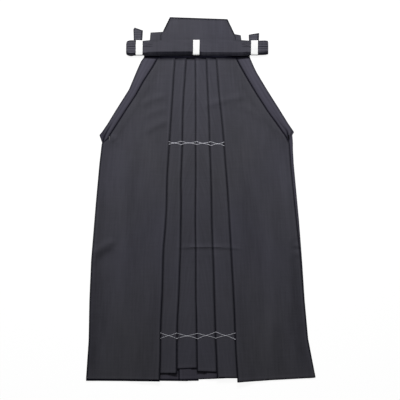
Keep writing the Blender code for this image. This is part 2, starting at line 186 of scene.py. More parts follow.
# %% Hem of each sheet
HEM_START = -277.0
Hem = namedtuple("Hem", "start end")
HEMS = {
    "A": Hem(-496.8, -498.6), "B1": Hem(-494.0, -484.0), "S1": Hem(-478.6, -477.4),
    "B2": Hem(-476.6, -470.4), "S2": Hem(-468.6, -461.2), "FL": Hem(-495.9, -496.2),
    "RA": Hem(-488.0, -501.4), "RB1": Hem(-498.0, -490.6), "RS4": Hem(-490.0, -489.6),
    "RB2": Hem(-484.6, -478.0), "RS3": Hem(-477.0, -471.8), "RB3": Hem(-471.2, -470.2),
    "RS2": Hem(-470.0, -466.0), "FR": Hem(-486.6, -487.0),
    "L0": Hem(-495.6, -498.0), "L1": Hem(-498.0, -497.6), "L2": Hem(-497.6, -497.0),
    "R0": Hem(-486.8, -490.4), "R1": Hem(-490.4, -490.0), "R2": Hem(-489.6, -493.6),
}
DROOP = {"A": 1.1, "B1": 0.4, "S1": 2.2, "S2": 0.5, "RA": 1.1, "RS4": 1.6, "RS3": 2.0,
         "RS2": 0.3}
DROOP_FROM = 5.0
ON_THE_BACK = 1.6
print(len(HEMS), "sheets with a hem of their own")

# %% [markdown]
# A helper reads a table at many heights at once. It averages the straight line over a short
# reach, so that a crease bends softly where two rows of the table meet. Three more are an eased
# step, a limit, and a bell curve for whatever fades out to both sides.

# %% Rows along the garment
ROW_STEP = 6.0
KEY_ROWS = (WAIST, 391.4, 186.0, 178.0, 167.0, 159.0, 156.2, -129.5, -132.5, -135.5, -138.5,
            -141.5, -488.0, -491.0, -493.5, -495.0, -496.8, HEM_LINE)


def smooth(part):
    return part * part * (3.0 - 2.0 * part)


def unit(value):
    return min(1.0, max(0.0, value))


def bell(away, width):
    return np.exp(-((away / width) ** 2))


def column(rows, name, ys, reach=0.0):
    rows = sorted(rows, key=lambda row: row.y)
    at = [row.y for row in rows]
    values = [getattr(row, name) for row in rows]
    steps = np.linspace(-1.0, 1.0, 9)
    weights = 1.0 - 0.9 * np.abs(steps)
    total = sum(w * np.interp(ys + s * reach, at, values) for s, w in zip(steps, weights))
    return total / weights.sum()


plain_rows = [y for y in np.arange(WAIST, HEM_LINE, -ROW_STEP)
              if min(abs(y - key) for key in KEY_ROWS) > 1.2]
ROWS = np.array(sorted(list(plain_rows) + list(KEY_ROWS), reverse=True))
print(len(ROWS), "rows from the waist to the hem")

# %% [markdown]
# Every layer has its points at the same places across the garment. Two layers that share
# their columns can be compared point by point, so one can be laid on the other without ever
# passing through it. The columns follow the creases, with small steps between them.

# %% Columns across the pleats
COLUMN_PLAN = (
    ("p1", -SHOULDER), ("p1", 0), ("p1~p2", 0), ("p2", -SHOULDER), ("p2", 0), ("c1", -PAINTED_HIGHLIGHT_OFFSET),
    ("c1", 0), ("c1", SHOULDER), ("c2", -PAINTED_HIGHLIGHT_OFFSET), ("c2", 0), ("c2", SHOULDER),
    ("bl2", -SHOULDER), ("bl2", 0), ("bl1", 0), ("bl1", SHOULDER), ("c3", -SHOULDER), ("c3", 0),
    ("cl", 0), ("c3", PAINTED_HIGHLIGHT_OFFSET), ("cs", 0), ("br1", -SHOULDER), ("br1", 0), ("c4", -SHOULDER),
    ("c4", 0), ("c4", PAINTED_HIGHLIGHT_OFFSET), ("p3", 0), ("p3", SHOULDER), ("br2", 0), ("br2", SHOULDER),
    ("c5", -SHOULDER), ("c5", 0), ("c5", PAINTED_HIGHLIGHT_OFFSET), ("p4", 0), ("p4", SHOULDER), ("p4~p5", 0),
    ("p5", 0), ("p5", SHOULDER),
)
COLUMN_STEP = 5.0


def pleat_lines(ys):
    depth = column(DEPTHS, "depth", ys, CREASE_REACH)
    lines = {}
    for number, (name, share) in enumerate(SHARE.items(), 1):
        crease = column(CREASES, name, ys, CREASE_REACH)
        crease = crease + 0.35 * np.sin(ys / 37.0 + 1.7 * number)
        lines[f"c{number}"] = crease
        side = -1.0 if number < 3 else 1.0
        lines[f"p{number}"] = crease + side * depth * share
    lines["cs"] = lines["c3"] + CENTRE_SEAM
    lines["cl"] = lines["c3"] + CENTRE_LAP
    lines["bl1"] = (lines["c2"] + lines["c3"]) / 2
    spread = 0.20 - 0.09 * (WAIST - ys) / (WAIST - HEM_LINE)
    lines["bl2"] = lines["c2"] + (lines["c3"] - lines["c2"]) * spread
    lines["br1"] = (lines["cs"] + lines["c4"]) / 2
    lines["br2"] = (lines["p3"] + lines["c5"]) / 2
    return lines


LINES = pleat_lines(ROWS)


def planned(key, shift):
    if "~" in key:
        one, two = key.split("~")
        return (LINES[one] + LINES[two]) / 2
    return LINES[key] + shift


main_places = [planned(key, shift) for key, shift in COLUMN_PLAN]
KEY_AT = {}
places = []
for number, (key, shift) in enumerate(COLUMN_PLAN):
    if shift == 0:
        KEY_AT[key] = len(places)
    places.append(main_places[number])
    if number + 1 < len(main_places):
        following = main_places[number + 1]
        pieces = max(1, math.ceil((following - main_places[number]).max() / COLUMN_STEP))
        for step in range(1, pieces):
            places.append(main_places[number] + (following - main_places[number]) * step / pieces)
PLACES = np.array(places).T
print(PLACES.shape[1], "columns, the closest", round(float(np.diff(PLACES).min()), 2), "mm apart")

# %% [markdown]
# Outside the pleats the front and the back each have their own columns, from their edge to
# the first pleat. The first few of the front cover the width of cloth that is turned in.

# %% Columns at the sides
LAP_SHARES = (0.0, 0.1, 0.22, 0.45, 0.7, 1.0)
LAP_COLUMNS = len(LAP_SHARES)
FRONT_COLUMNS = 24
BACK_OFFSETS = (0.0, 1.2, 2.4, 4.0, 6.0, 8.5, 11.0, 14.0, 18.0, 24.0)
BACK_COLUMNS = 10


def front_side(side, ys, lines):
    edge = column(FOLD_EDGE, side, ys, 4.0)
    if side == "left":
        stop = lines["p1"] - SHOULDER
        lap = np.minimum(SIDE_LAP, lines["p1"] - 4.0 - edge) + 0.7
        inner = edge + lap
    else:
        stop = lines["p5"] + SHOULDER
        lap = np.minimum(SIDE_LAP, edge - lines["p5"] - 4.0) + 0.7
        inner = edge - lap
    turned_in = [edge + (inner - edge) * share for share in LAP_SHARES]
    rest = [inner + (stop - inner) * k / FRONT_COLUMNS for k in range(1, FRONT_COLUMNS)]
    return np.array(turned_in + rest).T


def back_side(side, ys, lines):
    edge = column(OUTLINE, side, ys, 1.0)
    stop = lines["p1"] - SHOULDER if side == "left" else lines["p5"] + SHOULDER
    inward_sign = 1.0 if side == "left" else -1.0
    near = [edge + inward_sign * offset for offset in BACK_OFFSETS]
    start = near[-1]
    rest = [start + (stop - start) * k / BACK_COLUMNS for k in range(1, BACK_COLUMNS)]
    return np.array(near + rest).T


FRONT_SIDES = {side: front_side(side, ROWS, LINES) for side in ("left", "right")}
BACK_SIDES = {side: back_side(side, ROWS, LINES) for side in ("left", "right")}
print("front side columns:", FRONT_SIDES["left"].shape[1])

# %% [markdown]
# Now the cloth is laid down in the order that it was folded, from the back that touches the
# floor up to the outer front. Each sheet rests on the highest point near it, falls away no
# steeper than cloth would, and is rounded off. A cloth simulation could do this too, but
# pressed pleats keep straight lines, and those come out cleaner when they are worked out.

# %% Lay the sheets on each other
ORDER = table(
    "name start end side",
    ("L0", None, "bl1", "left back"), ("R0", "br1", None, "right back"),
    ("L1", "bl2", "bl1", ""), ("R1", "br1", "br2", ""), ("L2", "bl2", "cl", ""),
    ("R2", "c3", "br2", ""), ("S2", "p2", "cs", ""), ("RS2", "cs", "p3", ""),
    ("B2", "p2", "c2", ""), ("RB3", "c3", "p3", ""), ("S1", "p1", "c2", ""),
    ("RS3", "c3", "p4", ""), ("B1", "p1", "c1", ""), ("RB2", "c4", "p4", ""),
    ("RS4", "c4", "p5", ""), ("A", None, "c1", "left front"), ("RB1", "c5", "p5", ""),
    ("RA", "c5", None, "right front"),
)
PUFFED = {"A": "c1", "S1": "c2", "RS3": "c3", "RS4": "c4", "RA": "c5"}


def settle(across, tops):
    laid = np.empty_like(tops)
    for row in range(len(across)):
        apart = np.abs(across[row][:, None] - across[row][None, :])
        fall = SLOPE * np.maximum(0.0, apart - SHOULDER - ROUND_OFF)
        held = (tops[row][None, :] - fall).max(axis=1)
        weight = np.maximum(0.0, 1.0 - apart / ROUND_OFF)
        laid[row] = weight @ held / weight.sum(axis=1)
    return np.maximum(laid, 0.0)


def puff(across, crease):
    away = np.abs(across - LINES[crease][:, None])
    uneven = 0.85 + 0.15 * np.sin(ROWS / 61.0 + 2.0 * LINES[crease][0])
    uneven = uneven * np.clip((398.0 - ROWS) / 24.0, 0.0, 1.0)
    return PUFF * uneven[:, None] * bell(away, PUFF_REACH)


strip_left = np.clip((ROWS - STRIP_END + 30.0) / 30.0, 0.0, 1.0)
side_base = CLOTH + PITCH * smooth(strip_left)
sheets = {}
tops = np.zeros_like(PLACES)
side_tops = {}
for side, name in (("left", "FL"), ("right", "FR")):
    across = FRONT_SIDES[side][:, :LAP_COLUMNS]
    level = np.repeat((side_base + GAP + CLOTH / 2)[:, None], LAP_COLUMNS, axis=1)
    order = slice(None) if side == "left" else slice(None, None, -1)
    sheets[name] = (across[:, order], level[:, order])
for sheet in ORDER:
    first = KEY_AT[sheet.start] if sheet.start else 0
    last = KEY_AT[sheet.end] + 1 if sheet.end else PLACES.shape[1]
    across = PLACES[:, first:last]
    under = tops[:, first:last]
    side = sheet.side.split()[0] if sheet.side else ""
    outer = np.zeros((len(ROWS), 0))
    if sheet.side.endswith("back"):
        outer = BACK_SIDES[side]
        outer_under = np.zeros_like(outer)
    elif sheet.side.endswith("front"):
        outer = FRONT_SIDES[side]
        outer_under = np.full_like(outer, CLOTH)
        outer_under[:, :LAP_COLUMNS] = (side_base + GAP + CLOTH)[:, None]
    if side == "left":
        across = np.hstack([outer, across])
        under = np.hstack([outer_under, under])
    elif side == "right":
        across = np.hstack([across, outer[:, ::-1]])
        under = np.hstack([under, outer_under[:, ::-1]])
    if sheet.name in ("L0", "R0"):
        height = np.zeros_like(across)
    else:
        height = settle(across, under)
        height += GAP * np.clip(height / 0.2, 0.0, 1.0)
    if sheet.name in PUFFED:
        height += puff(across, PUFFED[sheet.name])
    middle = height + CLOTH / 2
    sheets[sheet.name] = (across, middle)
    extra = outer.shape[1]
    inner = middle[:, extra:] if side == "left" else middle[:, :middle.shape[1] - extra]
    tops[:, first:last] = inner + CLOTH / 2
    if sheet.side.endswith("front"):
        edge_part = middle[:, :extra] if side == "left" else middle[:, ::-1][:, :extra]
        side_tops[side] = edge_part + CLOTH / 2
print("highest point of the pleats:", round(float(tops.max()), 1), "mm")

# %% [markdown]
# Pressed cloth still has a few soft folds, where it was carried or where it lies over a seam.
# Each row of this table is one of them: a soft ridge between two points, with its own width
# and height. They lift the upper layers and leave the back flat on the floor. A second table
# gives long bands of painted shade and painted highlight, where the cloth is made darker or
# lighter than elsewhere.

# %% Soft folds, placed one by one
FOLDS = table(
    "x1 y1 x2 y2 width height",
    (-296.0, -150.0, -238.0, -114.0, 9.5, 5.4), (-300.0, -176.0, -242.0, -124.0, 9.0, 4.2),
    (-262.0, -128.0, -214.0, -150.0, 11.0, 0.7), (-168.0, 258.0, -94.0, 286.0, 8.0, 3.6),
    (-158.0, 226.0, -92.0, 250.0, 7.0, 2.4), (-152.0, 184.0, -88.0, 218.0, 9.0, 3.8),
    (-214.0, 214.0, -150.0, 110.0, 14.0, 0.8), (-196.0, 288.0, -110.0, 318.0, 10.0, 0.7),
    (199.0, 202.0, 237.0, 156.0, 3.6, 1.5), (-246.0, 178.0, -228.0, 150.0, 7.0, 2.4),
    (-66.0, -132.0, 112.0, -134.0, 3.6, 2.8), (-30.0, -154.0, 70.0, -156.0, 5.0, 0.5),
    (10.0, 256.0, 132.0, 284.0, 8.0, 3.0), (100.0, 262.0, 176.0, 214.0, 9.0, 2.0),
    (252.0, -124.0, 296.0, -137.0, 5.0, 3.4), (250.0, -146.0, 294.0, -160.0, 6.0, 2.0),
    (-132.0, 380.0, -118.0, 300.0, 8.0, 1.0), (-262.0, 140.0, -236.0, 20.0, 15.0, 1.1),
    (-243.0, 30.0, -232.0, -120.0, 18.0, 0.8), (-200.0, -180.0, -214.0, -420.0, 22.0, 0.9),
    (-156.0, 60.0, -150.0, -200.0, 20.0, 0.7), (-270.0, -260.0, -262.0, -470.0, 16.0, 1.0),
    (-296.0, -300.0, -250.0, -345.0, 10.0, 0.8), (-140.0, -330.0, -150.0, -496.0, 14.0, 0.7),
    (272.0, -90.0, 238.0, -118.0, 8.0, 1.1), (278.0, -128.0, 236.0, -168.0, 10.0, 0.9),
    (150.0, 300.0, 92.0, 170.0, 13.0, 1.0), (120.0, 330.0, 82.0, 250.0, 9.0, 0.8),
    (196.0, 205.0, 140.0, 92.0, 15.0, 0.8), (238.0, 150.0, 226.0, -10.0, 16.0, 1.1),
    (204.0, 10.0, 216.0, -190.0, 20.0, 0.8), (160.0, -60.0, 172.0, -300.0, 22.0, 0.8),
    (262.0, -230.0, 270.0, -452.0, 17.0, 1.0), (290.0, -320.0, 246.0, -362.0, 10.0, 0.7),
    (140.0, -330.0, 134.0, -498.0, 14.0, 0.8), (214.0, -330.0, 222.0, -490.0, 16.0, 0.8),
    (-92.0, -40.0, -101.0, -250.0, 8.0, 0.4), (8.0, 40.0, 12.0, -160.0, 9.0, 0.4),
    (52.0, -120.0, 60.0, -330.0, 9.0, 0.4), (-38.0, -230.0, -40.0, -440.0, 10.0, 0.4),
)
LIFT_FROM = 0.9
LIFT_WHOLE = 2.2
# Painted light: a positive shade darkens a band and a negative one lightens it, standing for the
# shading of long soft ridges and hollows.
PAINTED_LIGHT_BANDS = table(
    "x1 y1 x2 y2 width shade",
    (-216.0, 190.0, -224.0, -380.0, 17.0, -0.12), (-268.0, 130.0, -286.0, -200.0, 11.0, 0.10),
    (-291.0, -160.0, -300.0, -520.0, 22.0, 0.19), (-150.0, -300.0, -160.0, -500.0, 20.0, 0.05),
    (-182.0, 120.0, -190.0, -60.0, 12.0, 0.07), (182.0, 60.0, 188.0, -480.0, 15.0, -0.17),
    (246.0, -80.0, 276.0, -500.0, 15.0, 0.19), (236.0, -60.0, 246.0, -330.0, 7.0, -0.08),
    (128.0, 120.0, 132.0, -240.0, 14.0, 0.08), (222.0, 130.0, 240.0, -90.0, 10.0, -0.10),
    (-236.0, -112.0, -300.0, -168.0, 15.0, 0.24), (212.0, -330.0, 216.0, -490.0, 22.0, 0.09),
    (108.0, 170.0, 116.0, -60.0, 8.0, 0.06),
)


def lift(x, y):
    total = 0.22 + 0.16 * np.sin(x / 31.0 + 0.9 * np.sin(y / 83.0))
    total = total + 0.10 * np.sin(y / 47.0 + x / 71.0) + 0.05 * np.sin(x / 11.0 - y / 97.0)
    for fold in FOLDS:
        run = np.array([fold.x2 - fold.x1, fold.y2 - fold.y1])
        length = np.hypot(*run)
        run = run / length
        ahead = (x - fold.x1) * run[0] + (y - fold.y1) * run[1]
        aside = -(x - fold.x1) * run[1] + (y - fold.y1) * run[0]
        aside = aside - 0.06 * min(length, 70.0) * np.sin(np.pi * np.clip(ahead / length, 0, 1))
        ends = np.clip((length / 2 - np.abs(ahead - length / 2)) / (0.35 * length) + 0.3, 0, 1)
        total = total + fold.height * smooth(ends) * bell(aside, fold.width)
    return total


def painted_light_bands(x, y):
    total = np.zeros_like(x)
    for band in PAINTED_LIGHT_BANDS:
        share = np.clip((y - band.y1) / (band.y2 - band.y1), 0.0, 1.0)
        aside = x - band.x1 - (band.x2 - band.x1) * share - 3.0 * np.sin(y / 58.0 + band.x1)
        ends = np.clip((share - 0.5) * -2.0 / 0.4 + 2.5, 0.0, 1.0) * np.clip(share * 5.0, 0.0, 1.0)
        total = total + band.shade * ends * bell(aside, band.width)
    return total


def lifted(x, y, z):
    part = np.clip((z - LIFT_FROM) / (LIFT_WHOLE - LIFT_FROM), 0.0, 1.0)
    return z + lift(x, y) * smooth(part)


print(len(FOLDS), "soft folds and", len(PAINTED_LIGHT_BANDS), "bands, the highest",
      max(f.height for f in FOLDS), "mm")

# %% [markdown]
# Colour next. The cloth is a dark charcoal with a faint blue in it, woven plainly, with a dry
# surface. The weave follows each piece's own UV map, which holds real metres on the flat cloth,
# so the threads bend round every fold with it. The bump is a plain weave: two rows of waves,
# where each thread passes over the next one in turn. The helpers here are the nodes that all
# the finishes share: arithmetic, noise, a run of shades and a bump.

# %% Helpers for materials
WEAVE_STEP = 0.0011


def fill(tree, made, inputs):
    for name, value in inputs.items():
        if isinstance(value, bpy.types.NodeSocket):
            tree.links.new(value, made.inputs[name])
        else:
            made.inputs[name].default_value = value
    return made


def new_material(name, colour, rough):
    made = bpy.data.materials.new(name)
    made.use_nodes = True
    tree = made.node_tree
    look = {"Base Color": (*colour, 1.0), "Roughness": rough}
    return made, tree, fill(tree, tree.nodes["Principled BSDF"], look)


def add_node(tree, kind, inputs=None, at=(0, 0), **values):
    made = tree.nodes.new(kind)
    made.location = at
    for name, value in values.items():
        setattr(made, name, value)
    return fill(tree, made, inputs or {})


def maths(tree, operation, *given, at=(0, 0)):
    inputs = dict(enumerate(given))
    return add_node(tree, "ShaderNodeMath", inputs, at, operation=operation).outputs[0]


def noise(tree, source, scale, detail, at, stretch=(1.0, 1.0, 1.0)):
    mapped = add_node(tree, "ShaderNodeMapping", {"Vector": source, "Scale": stretch},
                      (at[0] - 200, at[1]))
    inputs = {"Vector": mapped.outputs[0], "Scale": scale, "Detail": detail}
    return add_node(tree, "ShaderNodeTexNoise", inputs, at).outputs[0]


def shades(tree, source, at, *stops):
    made = add_node(tree, "ShaderNodeValToRGB", {0: source}, at)
    ends = made.color_ramp.elements
    for number, (position, colour) in enumerate(stops):
        stop = ends[number] if number < 2 else ends.new(position)
        stop.position, stop.color = position, (*colour, 1.0)
    return made.outputs[0]


def add_bump(tree, shader, source, at, strength, distance):
    inputs = {"Height": source, "Strength": strength, "Distance": distance}
    bump = add_node(tree, "ShaderNodeBump", inputs, at)
    fill(tree, shader, {"Normal": bump.outputs[0]})


def tinted(colour, *factors):
    return tuple(c * f for c, f in zip(colour, factors * 3))


print("weave step:", WEAVE_STEP * 1000, "mm")

# %% [markdown]
# One function makes the charcoal cloth. Slow patches vary its depth of colour, and long faint
# streaks along and across it are the uneven yarns. Painted shade darkens the folds, the corners
# beside them and other places where shade falls, and there sheen and specular are less and the
# cloth is smoother; painted highlights lighten it a little way off. Where they are is kept in an
# attribute on the points, so the colour follows the folds however the cloth is laid. A second
# slow pattern moves the hue between a neutral grey and a bluer one.

# %% Charcoal cloth


def make_cloth(name, colour, rib=0.0):
    made, tree, shader = new_material(name, colour, 0.82)
    uv = add_node(tree, "ShaderNodeUVMap", at=(-1500, 0), uv_map="Cloth").outputs[0]
    parts = add_node(tree, "ShaderNodeSeparateXYZ", {0: uv}, (-1300, 200)).outputs
    threads = []
    for part, y in ((parts[0], 300), (parts[1], 120)):
        turns = maths(tree, "MULTIPLY", part, 2.0 * math.pi / WEAVE_STEP, at=(-1100, y))
        threads.append(maths(tree, "SINE", turns, at=(-900, y)))
    weave = maths(tree, "MULTIPLY", *threads, at=(-700, 200))
    slow = noise(tree, uv, 9.0, 3.0, (-900, -100), (1.7, 0.45, 1.0))
    along = noise(tree, uv, 60.0, 3.0, (-900, -300), (3.4, 0.22, 1.0))
    across = noise(tree, uv, 60.0, 3.0, (-900, -500), (0.3, 3.8, 1.0))
    fuzz = noise(tree, uv, 900.0, 2.0, (-900, -700))
    # The crease attribute holds painted shade where it is positive and painted highlight where it
    # is negative.
    crease = add_node(tree, "ShaderNodeAttribute", at=(-700, -850), attribute_name="crease")
    crease = crease.outputs["Fac"]
    tone = maths(tree, "MULTIPLY", along, 0.3, at=(-450, -300))
    for source, share in ((across, 0.16), (slow, 0.42), (fuzz, 0.3), (crease, -0.72)):
        part = maths(tree, "MULTIPLY", source, share, at=(-450, -450))
        tone = maths(tree, "ADD", tone, part, at=(-300, -300))
    tone = maths(tree, "ADD", tone, 0.14, at=(-250, -300))
    # On the ribbed cloth a wave along y adds stripes of painted shade and painted light, standing
    # for the shading of its ribs.
    if rib:
        place = add_node(tree, "ShaderNodeTexCoord", at=(-1500, 500)).outputs["Object"]
        parts = add_node(tree, "ShaderNodeSeparateXYZ", {0: place}, (-1300, 500)).outputs
        turns = maths(tree, "MULTIPLY", parts[1], 2.0 * math.pi / rib, at=(-1100, 500))
        wave = maths(tree, "SINE", turns, at=(-900, 500))
        part = maths(tree, "MULTIPLY", wave, 0.22, at=(-450, 500))
        tone = maths(tree, "ADD", tone, part, at=(-200, -300))
    # The dark bluish low end of this ramp is the painted shade of folds, corners and rims; the
    # light high end takes the painted highlights.
    shade = shades(tree, tone, (0, -200), (0.08, tinted(colour, 0.10, 0.10, 0.17)),
                   (1.0, tinted(colour, 1.5)), (0.52, tinted(colour, 0.78)))
    bluer = noise(tree, uv, 3.0, 2.0, (-100, -700))
    hue = add_node(tree, "ShaderNodeMix", {"Factor": bluer, 6: shade, 7: (0.96, 0.94, 1.28, 1.0)},
                   (250, -200), data_type="RGBA", blend_type="MULTIPLY")
    # Sheen and specular are cut where shade is painted, to make the painted shade darker still.
    open_part = maths(tree, "MULTIPLY_ADD", crease, -0.85, 1.0, at=(0, -650))
    rough = maths(tree, "MULTIPLY", crease, -0.12, at=(0, -500))
    fill(tree, shader, {
        "Base Color": hue.outputs[2],
        "Roughness": maths(tree, "ADD", rough, 0.84, at=(150, -500)),
        "Sheen Weight": maths(tree, "MULTIPLY", open_part, 0.12, at=(150, -650)),
        "Specular IOR Level": maths(tree, "MULTIPLY", open_part, 0.18, at=(150, -800)),
        "Sheen Roughness": 0.55, "Sheen Tint": (0.75, 0.78, 0.9, 1.0)})
    height = maths(tree, "MULTIPLY", fuzz, 0.7, at=(-300, 50))
    height = maths(tree, "ADD", weave, height, at=(-100, 200))
    add_bump(tree, shader, height, (100, 200), 0.45, 0.00012)
    return made


CHARCOAL = (0.0366, 0.0363, 0.0392)
RIB = 0.0066
cloth_material = make_cloth("CharcoalCloth", CHARCOAL)
inner_material = make_cloth("CharcoalInside", tinted(CHARCOAL, 1.08, 1.03, 1.12))
strip_material = make_cloth("CharcoalStrip", tinted(CHARCOAL, 1.15, 1.12, 1.21))
tie_material = make_cloth("CharcoalTieCloth", tinted(CHARCOAL, 1.04))
tail_material = make_cloth("CharcoalRibbedCloth", tinted(CHARCOAL, 1.2), RIB)
print("made", cloth_material.name, "and four more of its kind")

# %% [markdown]
# Paper and thread are simpler. The bands are plain white paper with a faint fibre. The basting
# thread is soft white cotton, seen as pale grey because it is thin.

# %% Paper and thread


def make_paper():
    made, tree, shader = new_material("WhitePaper", (0.67, 0.675, 0.67), 0.62)
    place = add_node(tree, "ShaderNodeTexCoord", at=(-900, 0)).outputs["Object"]
    fibre = noise(tree, place, 900.0, 5.0, (-600, 0), (1.0, 0.35, 1.0))
    slow = noise(tree, place, 40.0, 3.0, (-600, -250))
    tone = maths(tree, "ADD", fibre, slow, at=(-350, -100))
    shade = shades(tree, tone, (-150, 0), (0.6, (0.60, 0.605, 0.60)), (1.0, (0.70, 0.705, 0.70)))
    fill(tree, shader, {"Base Color": shade})
    add_bump(tree, shader, fibre, (-150, -300), 0.25, 0.00008)
    return made


def make_thread(name, colour, sheen_and_painted_highlight=1.0):
    made, tree, shader = new_material(name, colour, 0.75)
    place = add_node(tree, "ShaderNodeTexCoord", at=(-900, 0)).outputs["Object"]
    fibre = noise(tree, place, 2500.0, 3.0, (-600, 0))
    shade = shades(tree, fibre, (-300, 0), (0.0, tinted(colour, 0.8)), (1.0, tinted(colour, 1.15)))
    fill(tree, shader, {"Base Color": shade, "Sheen Weight": 0.2 * sheen_and_painted_highlight,
                        "Specular IOR Level": 0.5 * sheen_and_painted_highlight})
    add_bump(tree, shader, fibre, (-300, -300), 0.3, 0.0001)
    return made


paper_material = make_paper()
basting_material = make_thread("BastingThread", (0.60, 0.60, 0.66))
sewing_material = make_thread("SewingThread", (0.035, 0.035, 0.040))
tack_material = make_thread("TackThread", (0.085, 0.083, 0.08))
# Near-black thread with almost no sheen, used as painted shadow at the right side opening.
shadow_spot_thread_material = make_thread("ThreadAsPaintedShadow", (0.005, 0.005, 0.006), 0.05)
print("made", paper_material.name, basting_material.name, sewing_material.name)

# %% [markdown]
# Each panel is one long cloth that runs through its sheets: along the top one, round the fold,
# back beneath it, round the next fold, and so on. The helper walks that path in every row. It
# adds the half circle of each fold, lets the hem droop a little, and marks where shade is
# painted: the fold itself, the corner beside it, the rim of the hem and the tops under the
# waistband, with a painted highlight a little way off the folds and above the hem.

# %% Walk the cloth through its folds
CHAINS = {
    "FrontPanelLeft": (("FL", -1), ("A", 1), ("B1", -1), ("S1", 1), ("B2", -1), ("S2", 1)),
    "FrontPanelRight": (("FR", 1), ("RA", -1), ("RB1", 1), ("RS4", -1), ("RB2", 1),
                        ("RS3", -1), ("RB3", 1), ("RS2", -1)),
    "BackPanelLeft": (("L0", 1), ("L1", -1), ("L2", 1)),
    "BackPanelRight": (("R0", -1), ("R1", 1), ("R2", -1)),
}


def hem_height(y, hem):
    part = np.clip((HEM_START - y) / (HEM_START - HEM_LINE), 0.0, 1.0)
    return np.where(part > 0.0, HEM_START + part * (hem - HEM_START), y)


def turn(x, low, high, outward):
    middle = (low + high) / 2
    radius = (high - low) / 2
    angles = -math.pi / 2 + math.pi * np.arange(1, TURN_STEPS) / TURN_STEPS
    reach = np.minimum(np.abs(radius), TURN_REACH)
    across = x[:, None] + outward * reach[:, None] * np.cos(angles)
    return across, middle[:, None] + radius[:, None] * np.sin(angles)


# Marks of painted shade run up to 1; painted highlights go below 0, down to this value.
BRIGHTEST_PAINTED_HIGHLIGHT = -0.4
# Widths of the painted shade on each fold and in the corner beside it, and the height where the
# painted shadow under the waistband fades out.
FOLD_DARK = 2.8
CORNER_DARK = 3.1
UNDER_BAND = 384.5
# Strengths of painted shade: along the back's sewn outer edge, along the line of the front's fold
# over the back, at the front's side edge below the opening, beside the creases, and on the hem's
# rim.
SEWN_EDGE_PAINTED_SHADE = {"left": 0.75, "right": 0.12}
FOLD_SHADE = {"left": 0.45, "right": 0.15}
SIDE_DARK = {"A": 0.6, "RA": 0.08}
BESIDE = {"S1": ("c1",), "S2": ("c2", "c3"), "RS3": ("c4",), "RS4": ("c5",)}
Rim = namedtuple("Rim", "dark reach")
RIMS = {"RA": Rim(0.55, 5.0), "A": Rim(1.0, 7.0), "L0": Rim(1.0, 6.4), "L1": Rim(1.0, 6.4),
        "L2": Rim(1.0, 6.4)}
INNER_RIM = Rim(1.0, 4.2)
FOLD_LINES = {side: column(FOLD_EDGE, side, ROWS, 4.0) for side in ("left", "right")}
STRIP_LINES = {side: column(STRIP_EDGE, side, ROWS, 2.0) for side in ("left", "right")}


# Painted shade on the folds, deeper towards the hem.
CREASE_DARK = table(
    "y dark",
    (410.7, 0.56), (250.0, 0.60), (137.0, 0.66), (0.0, 0.74), (-277.0, 0.82), (-412.0, 0.86),
    (-498.0, 0.92),
)
CREASE_ROWS = column(CREASE_DARK, "dark", ROWS, CREASE_REACH)[:, None]


def near_edge(across, edge):
    return np.clip(1.5 - np.abs(across - edge) / 3.0, 0.0, 1.0)


def near_line(across, line, width):
    return bell(across - line[:, None], width)


# Painted shade on folds, beside creases, along edges, on the hem's rim and under the waistband,
# with painted highlights a little way off the folds and above the hem.
def painted_shade_and_highlight_marks(name, across, folded_first, folded_last):
    mark = np.zeros_like(across)
    sheen_and_painted_highlight = np.zeros_like(across)
    for folded, end in ((folded_first, across[:, :1]), (folded_last, across[:, -1:])):
        if folded:
            away = np.abs(across - end)
            mark = np.maximum(mark, CREASE_ROWS * (1.0 - away / FOLD_DARK))
            sheen_and_painted_highlight = sheen_and_painted_highlight + 0.15 * bell(away - PAINTED_HIGHLIGHT_OFFSET, 2.4)
    for crease in BESIDE.get(name, ()):
        mark = np.maximum(mark, CREASE_ROWS * near_line(across, LINES[crease], CORNER_DARK))
        away = np.abs(across - LINES[crease][:, None])
        sheen_and_painted_highlight = sheen_and_painted_highlight + 0.09 * bell(away - 6.5, 2.6)
    if name in ("L0", "R0"):
        side = "left" if name == "L0" else "right"
        mark = np.maximum(mark, SEWN_EDGE_PAINTED_SHADE[side] * near_edge(across, across[:, :1]))
        mark = np.maximum(mark, FOLD_SHADE[side] * near_line(across, FOLD_LINES[side], 2.6))
        beside_strip = 0.5 * near_line(across, STRIP_LINES[side], 2.0)
        mark = np.maximum(mark, np.where(ROWS[:, None] > STRIP_END - 6.0, beside_strip, 0.0))
    if name in ("A", "RA"):
        below = np.clip((ROWS - 150.0) / 16.0, SIDE_DARK[name], 1.0)[:, None]
        mark = np.maximum(mark, below * near_edge(across, across[:, :1]))
    above_hem = ROWS - HEM_LINE
    rim = RIMS.get(name, INNER_RIM)
    rim = rim.dark * np.clip((rim.reach - above_hem) / 2.4, 0.0, 1.0)
    sheen_and_painted_highlight = sheen_and_painted_highlight + 0.12 * bell(above_hem - 10.0, 3.0)[:, None]
    mark = np.maximum(mark, rim[:, None])
    mark = np.maximum(mark, np.clip((ROWS - UNDER_BAND) / 4.0, 0.0, 0.95)[:, None])
    return np.clip(mark - sheen_and_painted_highlight * (1.0 - mark), BRIGHTEST_PAINTED_HIGHLIGHT, 1.0)


